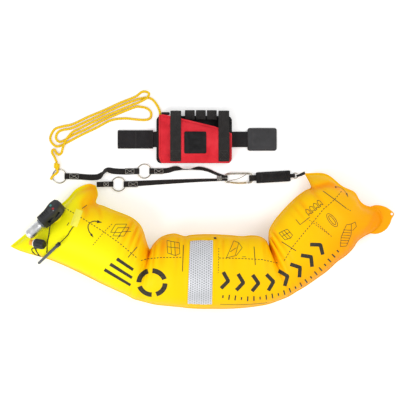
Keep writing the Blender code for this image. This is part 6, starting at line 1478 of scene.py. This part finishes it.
# Two webbing straps are sewn to the pouch's front and folded over its mouth to close it. Three folded
# loops of the same webbing stand behind it.
CLOSURE_WIDTH, CLOSURE_THICKNESS, CLOSURE_SEAT = 0.0262, 0.0013, 0.0009
CLOSURE_SHARES = (("left", -0.2674), ("right", 0.3899))
BOX_CORNERS = ((-1, 0.004), (1, 0.004), (1, 0.026), (-1, 0.026))
BOX_HALF_WIDTH = 0.0105
LOOP_WIDTH, LOOP_PITCH, LOOP_BEND = 0.024, 0.0268, 0.005
pouch_webbing = woven_strap("pouch_webbing", (0.0095, 0.0085, 0.0085), (0.048, 0.044, 0.043), 0.0018)


def fitted_strap(node, centres, width, thickness=CLOSURE_THICKNESS, name=None):
    """A strap over given centres, straight across the pouch, standing for its CAD piece."""
    fine = even_path(centres, 4 * len(centres))
    grid = strap_grid(fine, np.tile(RIGHT, (len(fine), 1)), [width] * len(fine), thickness)
    surface(name or f"{node}_webbing", grid, pouch_webbing, "webbing", node)


for side_name, share in CLOSURE_SHARES:
    x = POUCH_X + share * POUCH_WIDTH
    edge = POUCH_Y + float(pouch_mouth(x))
    low = POUCH_Y + 0.03 * POUCH_HIGH
    centres = []
    for y in low + (edge - low - CLOSURE_THICKNESS) * np.arange(16) / 15:
        level = max(drop(bag_shape, x + s * CLOSURE_WIDTH / 2, y) for s in (-1, -0.5, 0, 0.5, 1))
        centres.append((x, y, level + CLOSURE_SEAT + CLOSURE_THICKNESS / 2))
    lip, top = centres[-1][2], POUCH_Y + 0.1275
    ys, zs = [c[1] for c in centres], [c[2] for c in centres]
    fold = (lip - POUCH_LIFT) * 0.32
    turn_y, turn_z = top - fold, POUCH_LIFT + fold + CLOSURE_THICKNESS + CLOTH_SEAT
    centres.append((x, (edge + turn_y) / 2, (lip + turn_z + fold) / 2 + CLOSURE_THICKNESS))
    for a in np.radians((70, 35, 0, -35, -70)):
        centres.append((x, turn_y + fold * math.cos(a), turn_z + fold * math.sin(a)))
    centres.append((x, turn_y - fold / 2, POUCH_LIFT + CLOTH_SEAT + CLOSURE_THICKNESS / 2))
    name = f"closure_{side_name}"
    fitted_strap(f"closure_strap_{side_name}", centres, CLOSURE_WIDTH, name=f"{name}_webbing")
    corners = [
        (x + s * BOX_HALF_WIDTH, low + up, np.interp(low + up, ys, zs) + CLOSURE_SEAT)
        for s, up in BOX_CORNERS
    ]
    box = [(corners[a], corners[b]) for a, b in ((0, 1), (0, 3), (1, 2), (3, 2), (0, 2), (1, 3))]
    stitched(f"{name}_stitches", box, 0.0022, 0.0005, dark_thread, "webbing")

low = POUCH_LIFT - SEAT + CLOTH_SEAT + CLOSURE_THICKNESS / 2
top = POUCH_Y + 0.1290
turn_y, turn_z, foot = top - LOOP_BEND, low + LOOP_BEND, top - 0.0225
for number in range(3):
    x = POUCH_X + 0.0753 * POUCH_WIDTH + (number - 1) * LOOP_PITCH
    centres = [(x, foot, low + 0.0095), (x, foot + 0.01125, turn_z + 0.00525)]
    for a in np.radians((90, 50, 10, -30, -70)):
        centres.append((x, turn_y + LOOP_BEND * math.cos(a), turn_z + LOOP_BEND * math.sin(a)))
    centres += [(x, foot + 0.01125, low - 0.00025), (x, foot, low)]
    fitted_strap(f"back_loop_{number + 1}", centres, LOOP_WIDTH)

# The waist belt is 38 mm webbing. It runs behind the pouch through two keepers, has a folded and
# sewn left end, and ends at the right in a pad of hook tape.
BELT_Y, BELT_MIDDLE, BELT_WIDTH, BELT_THICKNESS = 0.3165, 0.0029, 0.0381, 0.0020
BELT_LEFT, BELT_RIGHT = -0.199, 0.126
FOLDED_LENGTH, FOLDED_WIDTH, FOLDED_THICKNESS, FOLD_STITCHES = 0.086, 0.045, 0.0014, 0.0205
PAD_LENGTH, PAD_WIDTH, PAD_TOP, PAD_HEM = 0.072, 0.056, 0.0060, 0.007
KEEPER_SHARE, KEEPER_WIDTH, KEEPER_THICKNESS = 0.3034, 0.025, 0.0015
belt_webbing = woven_strap("belt_webbing", (0.0075, 0.0070, 0.0080), (0.036, 0.034, 0.037), 0.0021)
hook_tape = Finish("hook_tape", 0.34, gloss=0.5)
hook_tape.colour(hook_tape.noise(45, 5), (0.3, (0.0055, 0.0055, 0.0065)), (0.75, (0.022, 0.021, 0.025)))
folds = hook_tape.noise(55, 2, Distortion=1.5)
tips = hook_tape.maths("MULTIPLY", hook_tape.texture("Voronoi", "Distance", Scale=900), folds)
hook_tape.bump(hook_tape.maths("MULTIPLY_ADD", folds, tips, tips), 0.0009, 0.7)


def belt_strap(name, path, width, thickness, node):
    """A band along the belt, level across it."""
    grid = strap_grid(path, np.tile([0, 1.0, 0], (len(path), 1)), [width] * len(path), thickness)
    surface(name, grid, belt_webbing, "webbing", node, "belt")


def across_belt(x, half, height):
    """A stitch line straight across the belt."""
    return (x, BELT_Y - half, height), (x, BELT_Y + half, height)


belt_path = [(x, BELT_Y, BELT_MIDDLE) for x in np.linspace(BELT_LEFT, BELT_RIGHT, 120)]
belt_strap("waist_belt_webbing", belt_path, BELT_WIDTH, BELT_THICKNESS, "waist_belt")
gap = BELT_THICKNESS / 2 + SEAT + FOLDED_THICKNESS / 2
fold_end = BELT_LEFT + FOLDED_LENGTH - gap
flats = [fold_end, *(BELT_LEFT + along for along in (FOLDED_LENGTH * 0.8, FOLDED_LENGTH * 0.5, 0.02))]
fold_rows = [(x, BELT_Y, BELT_MIDDLE + gap) for x in flats]
fold_rows += [
    (BELT_LEFT - SEAT + gap * math.cos(a), BELT_Y, BELT_MIDDLE + gap * math.sin(a))
    for a in np.radians((90, 126, 162, 198, 234, 270))
]
fold_rows += [(x, BELT_Y, BELT_MIDDLE - gap) for x in (flats[3], flats[2], flats[0])]
fold_path = even_path(fold_rows, 110)
belt_strap("belt_folded_end_cloth", fold_path, FOLDED_WIDTH, FOLDED_THICKNESS, "belt_folded_end")
thread_z = BELT_MIDDLE + gap + 0.0008
lines = [across_belt(x, FOLD_STITCHES, thread_z) for x in (-0.1585, -0.1565)]
lines += [[(x, BELT_Y + s, thread_z) for x in (-0.1965, -0.1165)] for s in (-FOLD_STITCHES, FOLD_STITCHES)]
lines.append(across_belt(-0.1165, FOLD_STITCHES, thread_z))
stitched("folded_end_stitches", lines, 0.0026, 0.00055, dark_thread, "webbing", "belt")
pad_x = BELT_RIGHT - 0.010 + PAD_LENGTH / 2
pad = slab(
    "hook_pad_cloth", rounded_outline(pad_x, BELT_Y, PAD_LENGTH, PAD_WIDTH, 0.006),
    0.0, PAD_TOP, 0.0016, hook_tape, "pad", "hook_pad", "belt", dome=0.0002,
)
thread_z = PAD_TOP + STITCH_LIFT
border = rounded_outline(pad_x, BELT_Y, PAD_LENGTH - PAD_HEM, PAD_WIDTH - PAD_HEM, 0.004)
lines = [*hemmed(border, thread_z), across_belt(pad_x - 0.0225, 0.0235, thread_z)]
stitched("hook_pad_stitches", lines, 0.0028, 0.0005, dark_thread, "pad", "belt")

reach, high = BELT_WIDTH / 2 + 0.0016, PANEL_LOW - CLOTH_SEAT
half_keeper = ((-reach, high), (-reach, 0.0016), (0.0008 - reach, 0.0009), (0.003 - reach, 0.0008))
keeper_line = [*half_keeper, (0, 0.0008), *((-y, z) for y, z in half_keeper[::-1])]
for side_name, s in (("left", -1), ("right", 1)):
    x = POUCH_X + s * KEEPER_SHARE * POUCH_WIDTH
    path = [(x, BELT_Y + y, z) for y, z in keeper_line]
    fitted_strap(f"belt_keeper_{side_name}", path, KEEPER_WIDTH, KEEPER_THICKNESS)

# The inflator, the valve and the pull bar are moulded nylon, acetal and rubber. Each keeps its CAD
# shape with its flat faces joined, its edges rounded and its finish varied a little, the plastics paler at
# their sharp edges.
MERGE_GAP, STUD_SEAT = 0.00001, 0.0011
FLAT_ANGLE, SHARP_ANGLE, SHADED_ANGLE = (math.radians(angle) for angle in (1.2, 28, 34))


def refined(source, name, finish, body, radius):
    """A finer copy of a CAD piece: merged, its coplanar faces joined, its edges rounded and shaded."""
    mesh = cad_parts[source].data.copy()
    work = bmesh.new()
    work.from_mesh(mesh)
    bmesh.ops.remove_doubles(work, verts=work.verts, dist=MERGE_GAP)
    bmesh.ops.dissolve_limit(work, angle_limit=FLAT_ANGLE, verts=work.verts, edges=work.edges)
    bmesh.ops.recalc_face_normals(work, faces=work.faces)
    sharp = [e for e in work.edges if len(e.link_faces) == 2 and e.calc_face_angle(0) > SHARP_ANGLE]
    bmesh.ops.bevel(
        work, geom=sharp, offset=radius, segments=2, profile=0.6, affect="EDGES", clamp_overlap=True,
    )
    for face in work.faces:
        face.smooth = True
        face.material_index = 0
    for edge in work.edges:
        edge.smooth = edge.calc_face_angle(0) < SHADED_ANGLE
    bmesh.ops.recalc_face_normals(work, faces=work.faces)
    work.to_mesh(mesh)
    work.free()
    mesh.name = name
    mesh.materials.clear()
    return fixed(name, mesh, finish, source, body)


def moulded(name, dark, light, roughness=0.42, grain=1400, streak=60):
    """Moulded plastic: a fine spark-eroded grain, slow colour drift and a paler colour at sharp edges."""
    plastic = Finish(name, roughness, gloss=0.4)
    drift = plastic.noise(streak, 6)
    # Paler colour at the mesh's sharpest edges, read from its pointiness.
    edge = plastic.add("ShaderNodeNewGeometry").outputs["Pointiness"]
    sharp_edge_mask = plastic.ramp(edge, (0.52, (0, 0, 0)), (0.60, (1, 1, 1)))
    paler = [min(1, c * 1.6 + 0.01) for c in light]
    plastic.overlay(sharp_edge_mask, plastic.ramp(drift, (0.3, dark), (0.7, light)), paler)
    plastic.dull(drift)
    plastic.bump(plastic.noise(grain, 2), 0.00006, 0.5)
    return plastic


dark_nylon = moulded("dark_nylon", (0.009, 0.0095, 0.011), (0.026, 0.027, 0.030))
black_nylon = moulded("black_nylon", (0.0075, 0.0075, 0.0080), (0.022, 0.022, 0.023))
grey_acetal = moulded("grey_acetal", (0.085, 0.095, 0.11), (0.16, 0.175, 0.20), 0.36)
slate_acetal = moulded("slate_acetal", (0.022, 0.025, 0.030), (0.055, 0.062, 0.075), 0.38)
white_acetal = moulded("white_acetal", (0.62, 0.64, 0.64), (0.78, 0.80, 0.80), 0.34)
seal_rubber = soft_rubber("seal_rubber", (0.012, 0.012, 0.012), (0.030, 0.030, 0.030))
pin_steel = drawn_wire("pin_steel", (0.45, 0.45, 0.44), (0.66, 0.66, 0.64))
cylinder_steel = drawn_wire("zinc_plated_cylinder", (0.62, 0.63, 0.64), (0.86, 0.87, 0.87), 0.34)
green_lens = moulded("green_lens", (0.03, 0.17, 0.16), (0.07, 0.28, 0.26), 0.18, 2000, 200)
red_lens = moulded("red_lens", (0.24, 0.006, 0.009), (0.42, 0.014, 0.022), 0.2, 2000, 200)
flange_skin = coated_skin("moulded_flange", (0.93, 0.78, 0.02), (0.95, 0.72, 0.02), (0.94, 0.55, 0.01))
orange_hose = moulded("orange_hose", (0.80, 0.26, 0.012), (0.93, 0.40, 0.02), 0.45, 700, 90)
for node, made, finish, body, slot, radius in (
    ("inflator_flange", "moulding", flange_skin, "buoy", "skin", 0.0002),
    ("valve_base", "moulding", flange_skin, "buoy", "skin", 0.0002),
    ("inflator_body", "moulding", dark_nylon, "buoy", "dark_plastic", 0.00035),
    ("fold_stud", "moulding", black_nylon, "buoy", "black_plastic", 0.0004),
    ("release_lever", "moulding", black_nylon, "lever", "black_plastic", 0.0004),
    ("lever_pin", "turned", pin_steel, "buoy", "steel", 0.0001),
    ("piercing_pin", "turned", pin_steel, "pin", "steel", 0.0001),
    ("cartridge_seal", "washer", seal_rubber, "buoy", "black_rubber", 0.0002),
    ("cartridge_collar", "ring", grey_acetal, "buoy", "grey_plastic", 0.0002),
    ("co2_cartridge", "cylinder", cylinder_steel, "cartridge", "steel", 0.0003),
    ("status_window", "lens", green_lens, "buoy", "green_window", 0.0001),
    ("fired_window", "lens", red_lens, "buoy", "red_window", 0.0001),
    ("oral_tube", "hose", orange_hose, "buoy", "orange_skin", 0.0004),
    ("valve_body", "nozzle", white_acetal, "buoy", "white_plastic", 0.0002),
    ("valve_stem", "poppet", grey_acetal, "stem", "grey_plastic", 0.0002),
    ("valve_cap", "ribbed", black_nylon, "cap", "black_plastic", 0.0002),
    ("pull_bar", "tube", slate_acetal, "buoy", "grey_plastic", 0.0004),
    ("pull_bar_cap", "plug", black_nylon, "buoy", "black_plastic", 0.0004),
    ("gate_pin", "rivet", nickel, "buoy", "steel", 0.0001),
):
    piece = refined(node, f"{node}_{made}", finish, body, radius)
    if node == "fold_stud":
        low, high = (Vector(corner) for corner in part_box(node))
        centre = (low + high) / 2
        foot, normal, _, _ = skin_shape.find_nearest(centre)
        normal = normal if normal.z > 0 else -normal
        piece.data.transform(Matrix.Translation(normal * (STUD_SEAT - (centre - foot).dot(normal))))

# The floor is a plain pale sheet, and the light is a soft studio's: an even white room, a wide lamp
# at the front left and a weaker one at the back right, so that the shadows stay short and pale.
FLOOR_HALF, FLOOR_GAP = 4, 0.0005
FLOOR_SHADE, FLOOR_GLOW, ROOM_GLOW = 0.86, 0.30, 0.70
LAMPS = (("wide_lamp", (-1.6, -1.4, 2.4), 1.4, 42), ("fill_lamp", (1.9, 0.8, 2.4), 2.0, 26))
floor_mesh = bpy.data.meshes.new("studio_floor")
corners = [(x * FLOOR_HALF, y * FLOOR_HALF, 0) for x, y in ((-1, -1), (1, -1), (1, 1), (-1, 1))]
floor_mesh.from_pydata(corners, [], [(0, 1, 2, 3)])
floor = bpy.data.objects.new("studio_floor", floor_mesh)
floor.location.z = min(0.0, cad_box[0][2]) - FLOOR_GAP
bpy.context.scene.collection.objects.link(floor)
paper = Finish("white_paper", 0.9)
paper.shader.inputs["Base Color"].default_value = (FLOOR_SHADE, FLOOR_SHADE, FLOOR_SHADE, 1)
paper.shader.inputs["Emission Color"].default_value = (1, 1, 1, 1)
rays = paper.add("ShaderNodeLightPath").outputs
seen = paper.maths("MAXIMUM", rays["Is Camera Ray"], rays["Is Glossy Ray"])
lit = paper.maths("MULTIPLY", seen, FLOOR_GLOW)
paper.tree.links.new(lit, paper.shader.inputs["Emission Strength"])
floor_mesh.materials.append(paper.material)

room = bpy.data.worlds.new("white_room")
room.use_nodes = True
background = room.node_tree.nodes["Background"].inputs
background["Color"].default_value = (1, 1, 1, 1)
background["Strength"].default_value = ROOM_GLOW
bpy.context.scene.world = room
for name, place, size, power in LAMPS:
    lamp = bpy.data.lights.new(name, "AREA")
    lamp.size = size
    lamp.energy = power
    holder = bpy.data.objects.new(name, lamp)
    holder.location = place
    holder.rotation_euler = (Vector((0, 0.15, 0)) - Vector(place)).to_track_quat("-Z", "Y").to_euler()
    bpy.context.scene.collection.objects.link(holder)
bpy.context.scene.view_settings.view_transform = "Standard"
